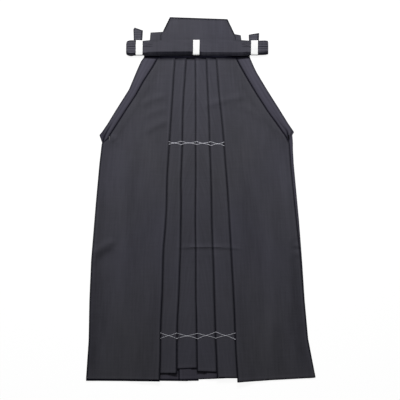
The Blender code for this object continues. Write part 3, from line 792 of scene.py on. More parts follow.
def walk(chain):
    xs, ys, zs, marks = [], [], [], []
    anchor = 0
    for number, (name, direction) in enumerate(chain):
        across, middle = (part[:, ::direction] for part in sheets[name])
        hem = HEMS[name]
        share = np.linspace(0.0, 1.0, across.shape[1])
        down = np.array([hem_height(ROWS, hem.start + (hem.end - hem.start) * s)
                         for s in share]).T
        rim = np.clip(1.0 - (ROWS - HEM_LINE) / DROOP_FROM, 0.0, 1.0)[:, None]
        lowest = np.minimum(middle, ON_THE_BACK)
        middle = np.maximum(middle - DROOP.get(name, 0.0) * rim * rim, lowest)
        if number:
            bend_x, bend_z = turn(across[:, 0], zs[-1][:, -1], middle[:, 0], -direction)
            before = ys[-1][:, -1:]
            after = down[:, :1]
            blend = np.linspace(0.0, 1.0, TURN_STEPS + 1)[1:-1]
            xs.append(bend_x)
            ys.append(before + (after - before) * blend)
            zs.append(bend_z)
            # The half circle of each fold takes the fold's painted shade.
            marks.append(CREASE_ROWS * np.ones_like(bend_x))
        xs.append(across)
        ys.append(down)
        zs.append(middle)
        marks.append(painted_shade_and_highlight_marks(name, across, number > 0, number + 1 < len(chain)))
        if name in ("A", "RA", "L0", "R0"):
            anchor = sum(part.shape[1] for part in xs) - 1
    return [np.hstack(part) for part in (xs, ys, zs, marks)] + [anchor]


print("the longest walk has", len(CHAINS["FrontPanelRight"]), "sheets")

# %% [markdown]
# A grid of points becomes an object here: an open surface, its UV map, then a wall of even
# thickness from the Solidify modifier. The result is taken as a plain mesh, so that the sharp
# rim and the smooth faces can be marked on it.

# %% Turn a grid into cloth


def plain(made, sharp=40.0):
    bpy.context.view_layer.update()
    shown = made.evaluated_get(bpy.context.evaluated_depsgraph_get())
    mesh = bpy.data.meshes.new_from_object(shown)
    made.modifiers.clear()
    old = made.data
    made.data = mesh
    bpy.data.meshes.remove(old)
    mesh.name = made.name
    mesh.polygons.foreach_set("use_smooth", [True] * len(mesh.polygons))
    mesh.set_sharp_from_angle(angle=math.radians(sharp))
    mesh.update()
    return made


def grid_object(name, x, y, z, wall, material, anchor, marks):
    rows, across = x.shape
    points = np.stack([x, y, z], axis=2).reshape(-1, 3) * MM
    index = np.arange(rows * across).reshape(rows, across)
    quads = np.stack([index[:-1, :-1], index[:-1, 1:], index[1:, 1:], index[1:, :-1]], axis=2)
    mesh = bpy.data.meshes.new(name)
    mesh.from_pydata(points.tolist(), [], quads.reshape(-1, 4).tolist())
    steps = np.hypot(np.diff(x, axis=1), np.diff(z, axis=1))
    run = np.hstack([np.zeros((rows, 1)), np.cumsum(steps, axis=1)])
    run = (run - run[:, anchor:anchor + 1]) * MM
    flat = np.stack([run.ravel(), (y * MM).ravel()], axis=1)
    loops = np.zeros(len(mesh.loops), dtype=int)
    mesh.loops.foreach_get("vertex_index", loops)
    layer = mesh.uv_layers.new(name="Cloth")
    layer.data.foreach_set("uv", flat[loops].astype(np.float32).ravel())
    # The crease attribute carries the painted shade and painted highlight into the cloth's colour.
    mark = mesh.attributes.new("crease", "FLOAT", "POINT")
    mark.data.foreach_set("value", marks.ravel().astype(np.float32))
    mesh.materials.append(material)
    made = placed(name, mesh)
    thick = made.modifiers.new("Wall", "SOLIDIFY")
    thick.thickness = wall * MM
    thick.offset = 0.0
    thick.use_even_offset = True
    thick.use_quality_normals = True
    return plain(made)


print("a grid becomes a closed shell")

# %% [markdown]
# The four panels. The fronts have two and three pleats, and the backs, which nobody sees in
# the photograph, have one each, because that is how such trousers are cut. The side edges of
# the fronts are turned in by about a finger's width, as the sewn garment's are.

# %% Build the four panels
panels = {}
for name, chain in CHAINS.items():
    x, y, z, marks, anchor = walk(chain)
    x[:, -1] += -SEAM / 2 if chain[-1][1] > 0 else SEAM / 2
    z = lifted(x, y, z)
    # The painted light bands join the painted shade and highlight of the folds.
    marks = np.clip(marks + painted_light_bands(x, y) * (1.0 - marks), BRIGHTEST_PAINTED_HIGHLIGHT, 1.0)
    panels[name] = grid_object(name, x, y, z, CLOTH, cloth_material, anchor, marks)
    if name.startswith("Back"):
        panels[name].data.materials.append(inner_material)
        for face in panels[name].data.polygons:
            face.material_index = 1 if face.normal.z > 0.0 else 0

# %% [markdown]
# Beside each side opening the front is folded in along a slant, and a strip of it shows
# outside that fold. The strip lies between the back and the front.

# %% Folded strips at the side openings
strip_rows = ROWS[ROWS >= STRIP_END]
SHOWN_SHARES = (0.0, 0.04, 0.09, *np.linspace(0.15, 0.93, 14), 1.0)
# Lines of painted shade on the strips where soft folds run, with their strength on each side.
STRIP_PAINTED_SHADE_LINES = table(
    "y left right dark_left dark_right",
    (391.4, -150.0, 129.0, 0.0, 0.0), (262.0, -214.0, 186.0, 0.0, 0.05),
    (219.0, -240.0, 213.7, 0.1, 0.3), (205.5, -247.6, 223.3, 0.4, 0.45),
    (191.8, -255.8, 235.6, 0.75, 0.75), (178.0, -262.9, 239.7, 1.0, 1.0),
    (159.0, -269.0, 241.4, 0.9, 1.0),
)
HIDDEN_SHARES = (0.2, 0.5, 1.0)


def side_strip(name, side):
    count = len(strip_rows)
    outer = STRIP_LINES[side][:count]
    fold = FOLD_LINES[side][:count]
    inner = FRONT_SIDES[side][:count, LAP_COLUMNS - 1]
    inner = inner - 0.7 if side == "left" else inner + 0.7
    x = np.array([outer + (fold - outer) * share for share in SHOWN_SHARES]
                 + [fold + (inner - fold) * share for share in HIDDEN_SHARES]).T
    y = np.repeat(strip_rows[:, None], x.shape[1], axis=1)
    z = np.full_like(x, PITCH + CLOTH / 2)
    # Painted shade along the strip's outer edge, along its fold, on the listed lines and at its
    # lower end; then the strip is lightened a little and crossed by faint painted ridges of light
    # and shade.
    marks = np.maximum(0.4 * near_edge(x, x[:, :1]), near_line(x, fold, 3.0))
    pressed = near_line(x, column(STRIP_PAINTED_SHADE_LINES, side, strip_rows, 3.0), 3.0)
    dark = column(STRIP_PAINTED_SHADE_LINES, "dark_" + side, strip_rows, 3.0)[:, None]
    marks = np.maximum(marks, pressed * dark)
    marks = np.maximum(marks, 1.0 - (y - STRIP_END) / 2.5)
    painted_ridge_shade = np.sin(19.0 * (x - fold[:, None]) / (outer - fold)[:, None])
    marks = marks - 0.05 - 0.09 * painted_ridge_shade * (1.0 - marks)
    marks = np.clip(marks, BRIGHTEST_PAINTED_HIGHLIGHT, 1.0)
    made = grid_object(name, x, y, z, CLOTH * 0.9, strip_material, 0, marks)
    return made


strips = {name: side_strip(name, side)
          for name, side in (("SideFoldLeft", "left"), ("SideFoldRight", "right"))}

# %% [markdown]
# The waistband lies over the tops of the pleats. It follows their heights, so it is laid on
# them like one more sheet, but it is thicker because it is a folded and stiffened band.

# %% Front waistband
BAND_THICK = 1.6
BAND_ROWS = (409.3, 404.7, 398.7, 390.2)
BAND_SHADE_FROM = 400.5


def front_band():
    count = len(BAND_ROWS)
    ys = np.array(BAND_ROWS)
    left = column(STRIP_EDGE, "left", ys)[:, None]
    right = column(STRIP_EDGE, "right", ys)[:, None]
    low = np.full_like(left, 2 * PITCH)
    across = np.hstack([left, FRONT_SIDES["left"][:count], PLACES[:count],
                        FRONT_SIDES["right"][:count, ::-1], right])
    under = [np.hstack([low, side_tops["left"][k:k + count], tops[k:k + count],
                        side_tops["right"][k:k + count, ::-1], low]) for k in range(3)]
    highest = np.maximum.reduce(under)
    height = settle(across, highest) + lift(across, ys[:, None]).max() + GAP
    y = np.repeat(ys[:, None], across.shape[1], axis=1)
    z = height + BAND_THICK / 2
    # Painted shadow of the bundle on the lower part of the band.
    marks = np.clip((BAND_SHADE_FROM - y) / 2.0, 0.0, 1.0)
    made = grid_object("FrontBand", across, y, z, BAND_THICK, tie_material, 0, marks)
    return made, across[1], z[1] + BAND_THICK / 2


front_band_object, band_across, band_top = front_band()
print("top of the waistband:", round(float(band_top.max()), 1), "mm")

# %% [markdown]
# Plates come next: a helper makes a flat piece with rounded corners and rounded edges from its
# outline. It is used for the stiff back board, the roots of the back ties beside it and the
# two tie ends that stand out above the bundle. The rim is a half circle, as folded cloth has,
# and the faces run between rings of points that follow each other.

# %% Flat pieces with soft edges
RIM_STEPS = 7


def skin(rings, width):
    faces = []
    for r in range(rings - 1):
        for c in range(width):
            a, b = r * width + c, r * width + (c + 1) % width
            faces.append((a, b, b + width, a + width))
    return faces


def half_circle(steps):
    return [-math.pi / 2 + math.pi * step / steps for step in range(steps + 1)]


def inward(points):
    area = sum(a.x * b.y - b.x * a.y for a, b in zip(points, points[1:] + points[:1]))
    sign = 1.0 if area > 0 else -1.0
    found = []
    for number in range(len(points)):
        along = points[(number + 1) % len(points)] - points[number]
        found.append(Vector((-along.y, along.x)).normalized() * sign)
    return found


def inset(outline, amount):
    points = [Vector(p) for p in outline]
    sides = inward(points)
    found = []
    for number, point in enumerate(points):
        one, two = sides[number - 1], sides[number]
        found.append(point + (one + two) * (amount / (1.0 + one.dot(two))))
    return found


def ring(outline, amount, corner, steps=6):
    shape = inset(outline, amount)
    count = len(shape)
    arcs = []
    for number, here in enumerate(shape):
        before = shape[number - 1] - here
        after = shape[(number + 1) % count] - here
        cut = min(max(corner - amount, 0.4), before.length * 0.4, after.length * 0.4)
        start = here + before.normalized() * cut
        end = here + after.normalized() * cut
        arcs.append([start.lerp(here, t).lerp(here.lerp(end, t), t)
                     for t in (step / steps for step in range(steps + 1))])
    points = []
    for number, arc in enumerate(arcs):
        following = arcs[(number + 1) % count]
        side = Vector(outline[(number + 1) % count]) - Vector(outline[number])
        pieces = max(2, int(side.length / 2.5))
        points += arc
        points += [arc[-1].lerp(following[0], k / pieces) for k in range(1, pieces)]
    return points


def plate(name, outline, bottom, top, material, corner=3.0, dome=0.0, border=0.0, wave=0.0,
          dark=0.9, free=None):
    radius = (top - bottom) / 2
    inner = ring(outline, radius + max(border, 1.7) + 0.6, corner)
    centre = sum(inner, Vector((0.0, 0.0))) / len(inner)
    rings, ring_marks = [], []

    def add(points, height, mark):
        rings.append([(p, height) for p in points])
        ring_marks.append(mark)

    for scale in (0.35, 0.7, 0.95):
        add([centre + (p - centre) * scale for p in inner], bottom, 0.0)
    # The round rim carries painted shade, and the flat just inside it a little less.
    for angle in half_circle(RIM_STEPS):
        push = radius * (1.0 - math.cos(angle))
        add(ring(outline, push, corner), bottom + radius + radius * math.sin(angle), dark)
    for push, mark in ((0.7, 0.65 * dark), (1.7, 0.0)):
        add(ring(outline, radius + push, corner), top, mark)
    if border:
        # The faint line inside the edge is a small drop in the face with painted shade in it.
        for push, drop in ((border - 0.5, 0.0), (border, 0.3), (border + 0.6, 0.0)):
            add(ring(outline, radius + push, corner), top - drop, 0.35 if drop else 0.0)
    for scale, share in ((0.97, 0.08), (0.85, 0.4), (0.65, 0.75), (0.4, 0.95), (0.2, 1.0)):
        add([centre + (p - centre) * scale for p in inner], top + dome * share, 0.0)
    width = len(inner)
    # The painted shade is scaled by free, which lifts it where the ties lie against the board.
    marks = [mark * (free(place) if free else 1.0)
             for places, mark in zip(rings, ring_marks) for place, _ in places] + [0.0, 0.0]
    points = []
    for places in rings:
        for place, height in places:
            ripple = 0.0
            if height > bottom + radius:
                ripple = wave * (math.sin(place.x / 7.0) * math.sin(place.y / 9.0 + 1.0))
            points.append((place.x * MM, place.y * MM, (height + ripple) * MM))
    low_middle = len(points)
    points.append((centre.x * MM, centre.y * MM, bottom * MM))
    high_middle = len(points)
    points.append((centre.x * MM, centre.y * MM, (top + dome) * MM))
    faces = skin(len(rings), width)
    last = (len(rings) - 1) * width
    for c in range(width):
        d = (c + 1) % width
        faces.append((d, c, low_middle))
        faces.append((last + c, last + d, high_middle))
    return closed_object(name, points, faces, material, 50.0, marks)


def closed_object(name, points, faces, material, sharp=50.0, marks=None):
    mesh = bpy.data.meshes.new(name)
    mesh.from_pydata(points, [], faces)
    work = bmesh.new()
    work.from_mesh(mesh)
    bmesh.ops.recalc_face_normals(work, faces=work.faces[:])
    work.to_mesh(mesh)
    work.free()
    layer = mesh.uv_layers.new(name="Cloth")
    for loop in mesh.loops:
        place = mesh.vertices[loop.vertex_index].co
        layer.data[loop.index].uv = (place.x, place.y + place.z * 0.9)
    # The crease attribute carries this piece's painted shade marks into its colour.
    mark = mesh.attributes.new("crease", "FLOAT", "POINT")
    mark.data.foreach_set("value", marks or [0.0] * len(mesh.vertices))
    mesh.materials.append(material)
    mesh.polygons.foreach_set("use_smooth", [True] * len(mesh.polygons))
    mesh.set_sharp_from_angle(angle=math.radians(sharp))
    return placed(name, mesh)


print("plates have", RIM_STEPS, "steps round their rim")

# %% [markdown]
# The back board is a stiff plate covered in the same cloth. It stands out above the waist, and
# its cover is drawn round it, so the face is slightly crowned and a faint line runs inside its
# edge. The roots of the back ties lie beside it, and both tie ends are two plies of cloth.

# %% Back board, back ties and tie ends
BOARD = ((-84.7, 501.8), (-104.1, 462.0), (-109.0, 450.0), (-109.6, 411.2), (97.4, 411.2),
         (93.0, 455.7), (73.7, 496.2))
FLAP_LEFT = ((-137.8, 459.5), (-142.0, 413.4), (-110.2, 413.4), (-109.6, 450.0),
             (-105.0, 461.4))
FLAP_RIGHT = ((93.6, 455.2), (98.0, 413.4), (113.6, 413.4), (111.5, 441.0), (110.1, 452.1))
TAIL_LEFT = ((-184.9, 468.6), (-183.4, 425.0), (-161.0, 425.0), (-158.6, 465.2),
             (-181.6, 473.2))
TAIL_RIGHT = ((131.8, 453.4), (132.8, 425.0), (159.6, 425.0), (160.6, 458.4))


def joined(name, parts):
    meshes = [part.data for part in parts]
    work = bmesh.new()
    for mesh in meshes:
        work.from_mesh(mesh)
    whole = bpy.data.meshes.new(name)
    work.to_mesh(whole)
    work.free()
    whole.materials.append(parts[0].data.materials[0])
    for part in parts:
        bpy.data.objects.remove(part, do_unlink=True)
    return placed(name, whole)


def beside_board(x):
    return -112.0 < x < 99.0


# Almost no painted rim shade on the board where the back ties lie against it.
def free_of_ties(place):
    top = 461.4 if place.x < 0 else 452.6
    return min(1.0, max(0.08, (place.y - top + 1.0) / 3.0))


board = plate("BackBoard", BOARD, 0.0, 5.2, tie_material, 2.2, 0.35, 3.4, 0.0,
              free=free_of_ties)
flats = {"BackBoard": board}
for name, outline, thick in (("BackTieLeft", FLAP_LEFT, 3.5), ("BackTieRight", FLAP_RIGHT, 3.5)):
    tuck = 0.75 if name == "BackTieLeft" else -0.75
    tucked = [(x + (tuck if beside_board(x) else 0.0), y) for x, y in outline]
    low = plate(name + "Low", tucked, 0.0, thick * 0.47, tie_material, 0.6, dark=0.2)
    high = plate(name + "High", inset(outline, 0.3), thick * 0.52, thick, tie_material,
                 1.0, 0.2, 0.0, 0.12, 0.35)
    flats[name] = joined(name, [low, high])
for name, outline in (("TieTailLeft", TAIL_LEFT), ("TieTailRight", TAIL_RIGHT)):
    middle_x = sum(x for x, y in outline) / len(outline)
    low = plate(name + "Low", outline, 0.0, 1.4, tail_material, 1.6)
    upper = [(p.x - (2.4 if p.x > middle_x else 0.0), p.y) for p in inset(outline, 0.6)]
    high = plate(name + "High", upper, 1.55, 3.0, tail_material, 1.6, 0.0, 0.0, 0.1)
    flats[name] = joined(name, [low, high])
print("flat pieces:", sorted(flats))

# %% [markdown]
# The long ties are folded to and fro into a bundle. It is built as six layers, one on another,
# each a flat strip with round edges. The lower ones are short of the waist's edge, because the
# pleats lie there. Towards both ends the layers are fanned, so that their edges show as lines.

# %% Sizes of the folded ties
TIES = table(
    "x top bottom rise",
    (-204.6, 432.0, 399.5, 0.0), (-201.0, 436.4, 396.4, 0.1), (-192.0, 438.4, 393.6, 0.2),
    (-180.2, 437.8, 395.6, 0.25), (-158.0, 436.6, 396.0, 0.3), (-152.0, 437.2, 394.6, 0.4),
    (-138.6, 438.3, 394.4, 0.6), (-112.0, 438.6, 394.2, 1.0), (-60.0, 438.9, 394.6, 1.0),
    (-24.0, 439.0, 394.9, 1.0), (-20.8, 437.9, 397.0, 1.0), (-3.4, 437.9, 397.0, 1.0),
    (-0.2, 439.0, 394.9, 1.0), (40.0, 438.9, 394.9, 1.0), (90.0, 438.7, 394.2, 1.0),
    (111.0, 438.5, 394.2, 0.6), (131.0, 437.2, 394.8, 0.4), (138.0, 436.6, 397.0, 0.3),
    (158.4, 437.0, 396.6, 0.25), (177.5, 437.6, 397.4, 0.2), (185.6, 436.0, 399.6, 0.0),
)
BUNDLE_TOP = 21.5
BUNDLE_END = 15.0
UNDER_ENDS = 4.2
UNDER_BOARD = 6.6
STEP_LINE = 412.6
PAPER = 0.4
RING_GAP = 0.25
BAND_REACH = 27.0
TIE_XS = [tie.x for tie in TIES]


def tie_value(name, x):
    return float(np.interp(x, TIE_XS, [getattr(tie, name) for tie in TIES]))


def bundle_levels(x):
    rise = tie_value("rise", x)
    top = BUNDLE_END + (BUNDLE_TOP - BUNDLE_END) * rise
    under = UNDER_ENDS + (UNDER_BOARD - UNDER_ENDS) * unit((rise - 0.3) / 0.3)
    reach = np.maximum(0.0, np.abs(band_across - x) - BAND_REACH)
    over = float((band_top + 2 * RING_GAP + PAPER - SLOPE * reach).max())
    return under, max(over, under), top


print("bundle levels at the middle:", [round(v, 1) for v in bundle_levels(0.0)])

# %% [markdown]
# One layer is a strip drawn through sections along the waist. Each section is a flat bar with
# half round edges, and the strip narrows to nothing at both ends in the same half round.

# %% Layers of the folded ties
LAYERS = table(
    "first last low_mid low_end lean top_mid top_left top_right",
    (0.0, 1 / 3, 413.2, 401.5, 0.0, 0.0, 0.0, 0.0),
    (1 / 3, 2 / 3, 413.2, 400.0, 0.0, -0.5, -1.0, -1.5),
    (2 / 3, 1.0, 413.4, 399.0, 0.0, -0.2, -3.0, -3.5),
    (1.0, 1.34, 397.6, 396.8, 2.6, -0.9, -6.5, -6.0),
    (1.34, 1.67, 400.6, 399.2, 2.8, -0.4, -10.5, -10.0),
    (1.67, 2.0, 404.4, 401.8, 3.0, 0.0, -15.5, -16.0),
)
END_LEFT, END_RIGHT = -204.8, 185.8
LAYER_STEP = 4.0
HALF_ROUND = 6
END_STEPS = (0.0, 0.12, 0.35, 0.7, 1.0)
END_ROUND = 2.2
TIE_MIDDLE = -10.0
PLY_FROM, PLY_TO = 121.0, 150.0
PLY_LINES = ((426.2, 1.0), (420.6, 0.9))
RIBBED_FROM = 168.5


def level_at(x, share):
    under, over, top = bundle_levels(x)
    middle = max(over, under + (top - under) * 0.45)
    if share <= 1.0:
        return under + (middle - under) * share
    return middle + (top - middle) * (share - 1.0)


def from_middle(x):
    return abs(x - TIE_MIDDLE)


# Painted shade lines where the edges of the plies show near the ends.
def painted_ply_edge_shade(x, y):
    near = unit((from_middle(x) - PLY_FROM) / 5.0) * (from_middle(x) < PLY_TO)
    return 0.8 * near * max(math.exp(-((y - at) / width) ** 2) for at, width in PLY_LINES)


def bar(x, low_y, high_y, low_z, high_z, lean, steps, fan):
    radius = (high_z - low_z) / 2
    middle = (high_z + low_z) / 2
    half = min(radius * 1.15, (high_y - low_y) / 2)
    ends = unit((from_middle(x) - RIBBED_FROM) / 3.0)
    lean = lean * min(1.0, (high_z - low_z) / 2.5)
    points, marks = [], []
    for angle in half_circle(HALF_ROUND):
        points.append((x, high_y - half + half * math.cos(angle),
                       middle + radius * math.sin(angle)))
        # Painted shade on the rounded upper edge, stronger where the layers are fanned.
        marks.append((0.35 + 0.6 * fan) * abs(math.cos(angle)))
    for step in range(1, steps):
        share = step / steps
        y = high_y - half + (low_y + lean - high_y + 2 * half) * share
        wave = 0.12 * math.sin(x / 19.0 + y / 6.0)
        wave += 0.34 * ends * math.sin(y * MM / RIB * 2 * math.pi)
        points.append((x, y, high_z + wave * min(1.0, 4.0 * share, 4.0 * (1.0 - share))))
        # Painted shade on the sloping lower side that faces the hem, and a thin painted line under
        # the upper edge.
        low_side = 0.8 - (y - low_y - lean - half) / 2.5 if lean else 0.0
        high_side = 0.9 * fan - (high_y - half - y) / 2.5
        marks.append(max(0.0, low_side, high_side, painted_ply_edge_shade(x, y)))
    for step in range(HALF_ROUND + 1):
        angle = math.pi / 2 + math.pi * step / HALF_ROUND
        tilt = lean * (1.0 + math.sin(angle)) / 2
        points.append((x, low_y + tilt + half + half * math.cos(angle),
                       middle + radius * math.sin(angle)))
        # Painted shade on the lower rounded edge.
        marks.append(0.7 if lean else 0.4)
    return points, marks


def bundle_layer(number, layer):
    slack = 0.7 * math.sin(2.1 * number + 0.6)
    start = END_LEFT + 0.8 + slack
    stop = END_RIGHT - 0.8 - 0.6 * slack
    xs = [start + END_ROUND * (1 - math.cos(math.pi / 2 * e)) for e in END_STEPS]
    count = int((stop - start - 2 * END_ROUND) / LAYER_STEP)
    xs += [start + END_ROUND + (stop - start - 2 * END_ROUND) * k / count
           for k in range(1, count)]
    xs += [stop - END_ROUND * (1 - math.cos(math.pi / 2 * e)) for e in END_STEPS[::-1]]
    sections = []
    for x in xs:
        inside = min(1.0, max(0.0, (x + 156.0) / 14.0), max(0.0, (139.0 - x) / 12.0))
        low_y = layer.low_end + (layer.low_mid - layer.low_end) * smooth(inside)
        low_y += tie_value("bottom", x) - 397.4 if low_y < 410 else 0.0
        fan_left, fan_right = unit((-96.0 - x) / 62.0) ** 1.4, unit((x - 74.0) / 60.0) ** 1.4
        fan = layer.top_left * fan_left + layer.top_right * fan_right
        high_y = tie_value("top", x) + layer.top_mid + fan
        low_z = level_at(x, layer.first) + 0.12
        high_z = level_at(x, layer.last) - 0.12
        end = min((x - start) / END_ROUND, (stop - x) / END_ROUND, 1.0)
        squash = math.sqrt(max(0.0, 1.0 - (1.0 - end) ** 2)) * 0.94 + 0.06
        middle = (low_z + high_z) / 2
        low_z = middle + (low_z - middle) * squash
        high_z = middle + (high_z - middle) * squash
        steps = 30 if number == len(LAYERS) - 1 else 8
        sections.append(bar(x, low_y, high_y, low_z, high_z, layer.lean, steps,
                            fan_left + fan_right))
    marks = [mark for section in sections for mark in section[1]]
    sections = [section[0] for section in sections]
    width = len(sections[0])
    points = [(a * MM, b * MM, c * MM) for section in sections for a, b, c in section]
    faces = skin(len(sections), width)
    faces.append(tuple(range(width)))
    faces.append(tuple(range(len(points) - width, len(points)))[::-1])
    return closed_object(f"TieLayer{number}", points, faces, tie_material, 50.0, marks)


bundle = joined("TieBundle", [bundle_layer(n, layer) for n, layer in enumerate(LAYERS)])
bundle.data.materials.append(tail_material)
for face in bundle.data.polygons:
    face.material_index = 1 if from_middle(face.center.x / MM) > RIBBED_FROM + 1.5 else 0
print("bundle faces:", len(bundle.data.polygons))

# %% [markdown]
# Three loops of white paper hold the bundle. Each one is wrapped close round the layers, with
# small round corners where the paper bends.

# %% Paper bands
PAPER_BANDS = {"PaperBandLeft": (-178.0, -159.4), "PaperBandCentre": (-20.8, -3.4),
               "PaperBandRight": (138.2, 156.8)}


def band_section(x, grow):
    under, over, top = bundle_levels(x)
    high, low = tie_value("top", x) + grow, tie_value("bottom", x) - grow
    top, under, over = top + grow, under - grow, max(over, under) - grow
    step = STEP_LINE - grow
    points = []
    for y, z, radius, start in ((high, top, 2.0 + grow, 0.0), (low, top, 4.5 + grow, 90.0)):
        cy = y - radius if start == 0.0 else y + radius
        for number in range(9):
            angle = math.radians(start + 90.0 * number / 8)
            points.append((x, cy + radius * math.cos(angle),
                           z - radius + radius * math.sin(angle)))
    points += [(x, low, over + 1.4), (x, low + 0.4, over + 0.4), (x, low + 1.4, over),
               (x, step, over), (x, step, under), (x, high - 1.4, under),
               (x, high - 0.4, under + 0.4), (x, high, under + 1.4)]
    return points


def paper_band(name, start, stop):
    xs = np.linspace(start, stop, 7)
    skew = 0.35
    inner = [band_section(x, RING_GAP) for x in xs]
    outer = [band_section(x, RING_GAP + PAPER) for x in xs]
    shape = outer + inner
    width = len(inner[0])
    points = []
    for section in shape:
        for a, b, c in section:
            points.append(((a + skew * (b - 418.0) / 20.0) * MM, b * MM, c * MM))
    count = len(inner)
    shift = count * width
    faces = []
    for a, b, c, d in skin(count, width):
        faces += [(a, b, c, d), (shift + a, shift + d, shift + c, shift + b)]
    for c in range(width):
        a, b = c, (c + 1) % width
        faces.append((a, shift + a, shift + b, b))
        a, b = a + (count - 1) * width, b + (count - 1) * width
        faces.append((a, b, shift + b, shift + a))
    return closed_object(name, points, faces, paper_material, 35.0)


papers = {name: paper_band(name, *ends) for name, ends in PAPER_BANDS.items()}
print("paper bands:", sorted(papers))

# %% [markdown]
# Two rows of basting thread keep the pleats in place until the first wear. In each row two
# threads cross on every strip and part at the creases. The path is worked out on the finished
# cloth, and Geometry Nodes then spin two plies round it, because a twist follows a path.

# %% Paths of the basting threads
UPPER_ROW = table(
    "crease upper lower shift",
    ("first", 159.8, 151.8, -0.6), ("second", 161.0, 151.4, -2.4), ("centre", 160.2, 151.8, 2.3),
    ("fourth", 159.6, 148.8, 3.2), ("fifth", 158.4, 148.2, 0.0),
)
LOWER_ROW = table(
    "crease upper lower shift",
    ("first", -364.9, -380.3, 0.0), ("second", -365.7, -380.8, -0.5),
    ("centre", -366.3, -381.4, 2.1), ("fourth", -362.2, -379.5, 0.5),
    ("fifth", -365.2, -383.3, 0.3),
)
EASE = {UPPER_ROW: 0.07, LOWER_ROW: 0.035}
THREAD_RADIUS = 0.34

tree_points, tree_faces = [], []
for piece in panels.values():
    shift = len(tree_points)
    tree_points += [v.co.copy() for v in piece.data.vertices]
    tree_faces += [tuple(i + shift for i in p.vertices) for p in piece.data.polygons]
ground = BVHTree.FromPolygons(tree_points, tree_faces)


def top_at(x, y):
    place = ground.ray_cast(Vector((x * MM, y * MM, 0.1)), Vector((0.0, 0.0, -1.0)))[0]
    return place.z / MM if place else 0.0


def basting_path(row, first_high):
    stops = []
    for number, at in enumerate(row):
        middle = np.array([(at.upper + at.lower) / 2])
        x = float(column(CREASES, at.crease, middle, CREASE_REACH)[0]) + at.shift
        stops.append((x, at.upper if (number % 2 == 0) == first_high else at.lower))
    path = []
    for (start, one), (stop, two) in zip(stops, stops[1:]):
        count = max(8, int((stop - start) / 0.7))
        for step in range(count):
            share = step / count
            ease = share + EASE[row] * math.sin(2 * math.pi * share)
            path.append((start + (stop - start) * share, one + (two - one) * ease))
    path.append(stops[-1])
    heights = np.array([top_at(x, y) for x, y in path])
    spread = np.array([heights[max(0, k - 2):k + 3].max() for k in range(len(heights))])
    eased = np.array([spread[max(0, k - 2):k + 3].mean() for k in range(len(spread))])
    eased = np.maximum(eased, heights)
    return [(x, y, z + 2.0 * THREAD_RADIUS) for (x, y), z in zip(path, eased)]


paths = [basting_path(row, high) for row in (UPPER_ROW, LOWER_ROW) for high in (True, False)]
print(len(paths), "threads,", [len(path) for path in paths], "points")

# %% [markdown]
# The node tree for a twisted thread. The path is resampled to even steps, each ply is moved
# off it along a turning direction made from the curve's normal and tangent, and a small circle
# is drawn along both plies. Both trees of this lesson begin and end alike: lines come in as a
# mesh, and real geometry with its material goes out.

# %% Node tree: twisted thread


def group_input(tree, name, kind, value=None):
    socket = tree.interface.new_socket(name, in_out="INPUT", socket_type=kind)
    if value is not None:
        socket.default_value = value


def new_tree(name, sizes):
    tree = bpy.data.node_groups.new(name, "GeometryNodeTree")
    group_input(tree, "Geometry", "NodeSocketGeometry")
    for size, value in sizes.items():
        group_input(tree, size, "NodeSocketFloat", value)
    group_input(tree, "Material", "NodeSocketMaterial")
    tree.interface.new_socket("Geometry", in_out="OUTPUT", socket_type="NodeSocketGeometry")
    given = add_node(tree, "NodeGroupInput").outputs
    curve = add_node(tree, "GeometryNodeMeshToCurve", {"Mesh": given["Geometry"]})
    return tree, given, curve.outputs[0]


def end_tree(tree, shape, material):
    real = add_node(tree, "GeometryNodeRealizeInstances", {0: shape}).outputs[0]
    paint = add_node(tree, "GeometryNodeSetMaterial", {"Geometry": real, "Material": material})
    add_node(tree, "NodeGroupOutput", {0: paint.outputs[0]})
    return tree


def vector_maths(tree, operation, inputs):
    return add_node(tree, "ShaderNodeVectorMath", inputs, operation=operation).outputs[0]


def thread_tree():
    tree, given, curve = new_tree("TwistedThread", {"Ply Radius": 0.0004, "Twist Length": 0.004,
                                                    "Step": 0.0006})
    even = add_node(tree, "GeometryNodeResampleCurve", {"Curve": curve, "Length": given["Step"]},
                    mode="LENGTH").outputs[0]
    length = add_node(tree, "GeometryNodeSplineParameter").outputs["Length"]
    tangent = add_node(tree, "GeometryNodeInputTangent").outputs[0]
    normal = add_node(tree, "GeometryNodeInputNormal").outputs[0]
    side = vector_maths(tree, "CROSS_PRODUCT", {0: tangent, 1: normal})
    turns = maths(tree, "DIVIDE", length, given["Twist Length"])
    angle = maths(tree, "MULTIPLY", turns, 2.0 * math.pi)
    radius = given["Ply Radius"]
    whole = add_node(tree, "GeometryNodeJoinGeometry")
    for phase in (0.0, math.pi):
        turned = maths(tree, "ADD", angle, phase)
        one = vector_maths(tree, "SCALE", {0: normal, "Scale": maths(tree, "COSINE", turned)})
        two = vector_maths(tree, "SCALE", {0: side, "Scale": maths(tree, "SINE", turned)})
        both = vector_maths(tree, "ADD", {0: one, 1: two})
        offset = vector_maths(tree, "SCALE", {0: both, "Scale": radius})
        moved = add_node(tree, "GeometryNodeSetPosition", {"Geometry": even, "Offset": offset})
        circle = add_node(tree, "GeometryNodeCurvePrimitiveCircle",
                          {"Resolution": 6, "Radius": radius}, mode="RADIUS")
        tube = add_node(tree, "GeometryNodeCurveToMesh", {
            "Curve": moved.outputs[0], "Profile Curve": circle.outputs[0], "Fill Caps": True})
        fill(tree, whole, {0: tube.outputs[0]})
    return end_tree(tree, whole.outputs[0], given["Material"])


def set_inputs(modifier, values):
    for item in modifier.node_group.interface.items_tree:
        if item.item_type == "SOCKET" and item.in_out == "INPUT" and item.name in values:
            modifier[item.identifier] = values[item.name]


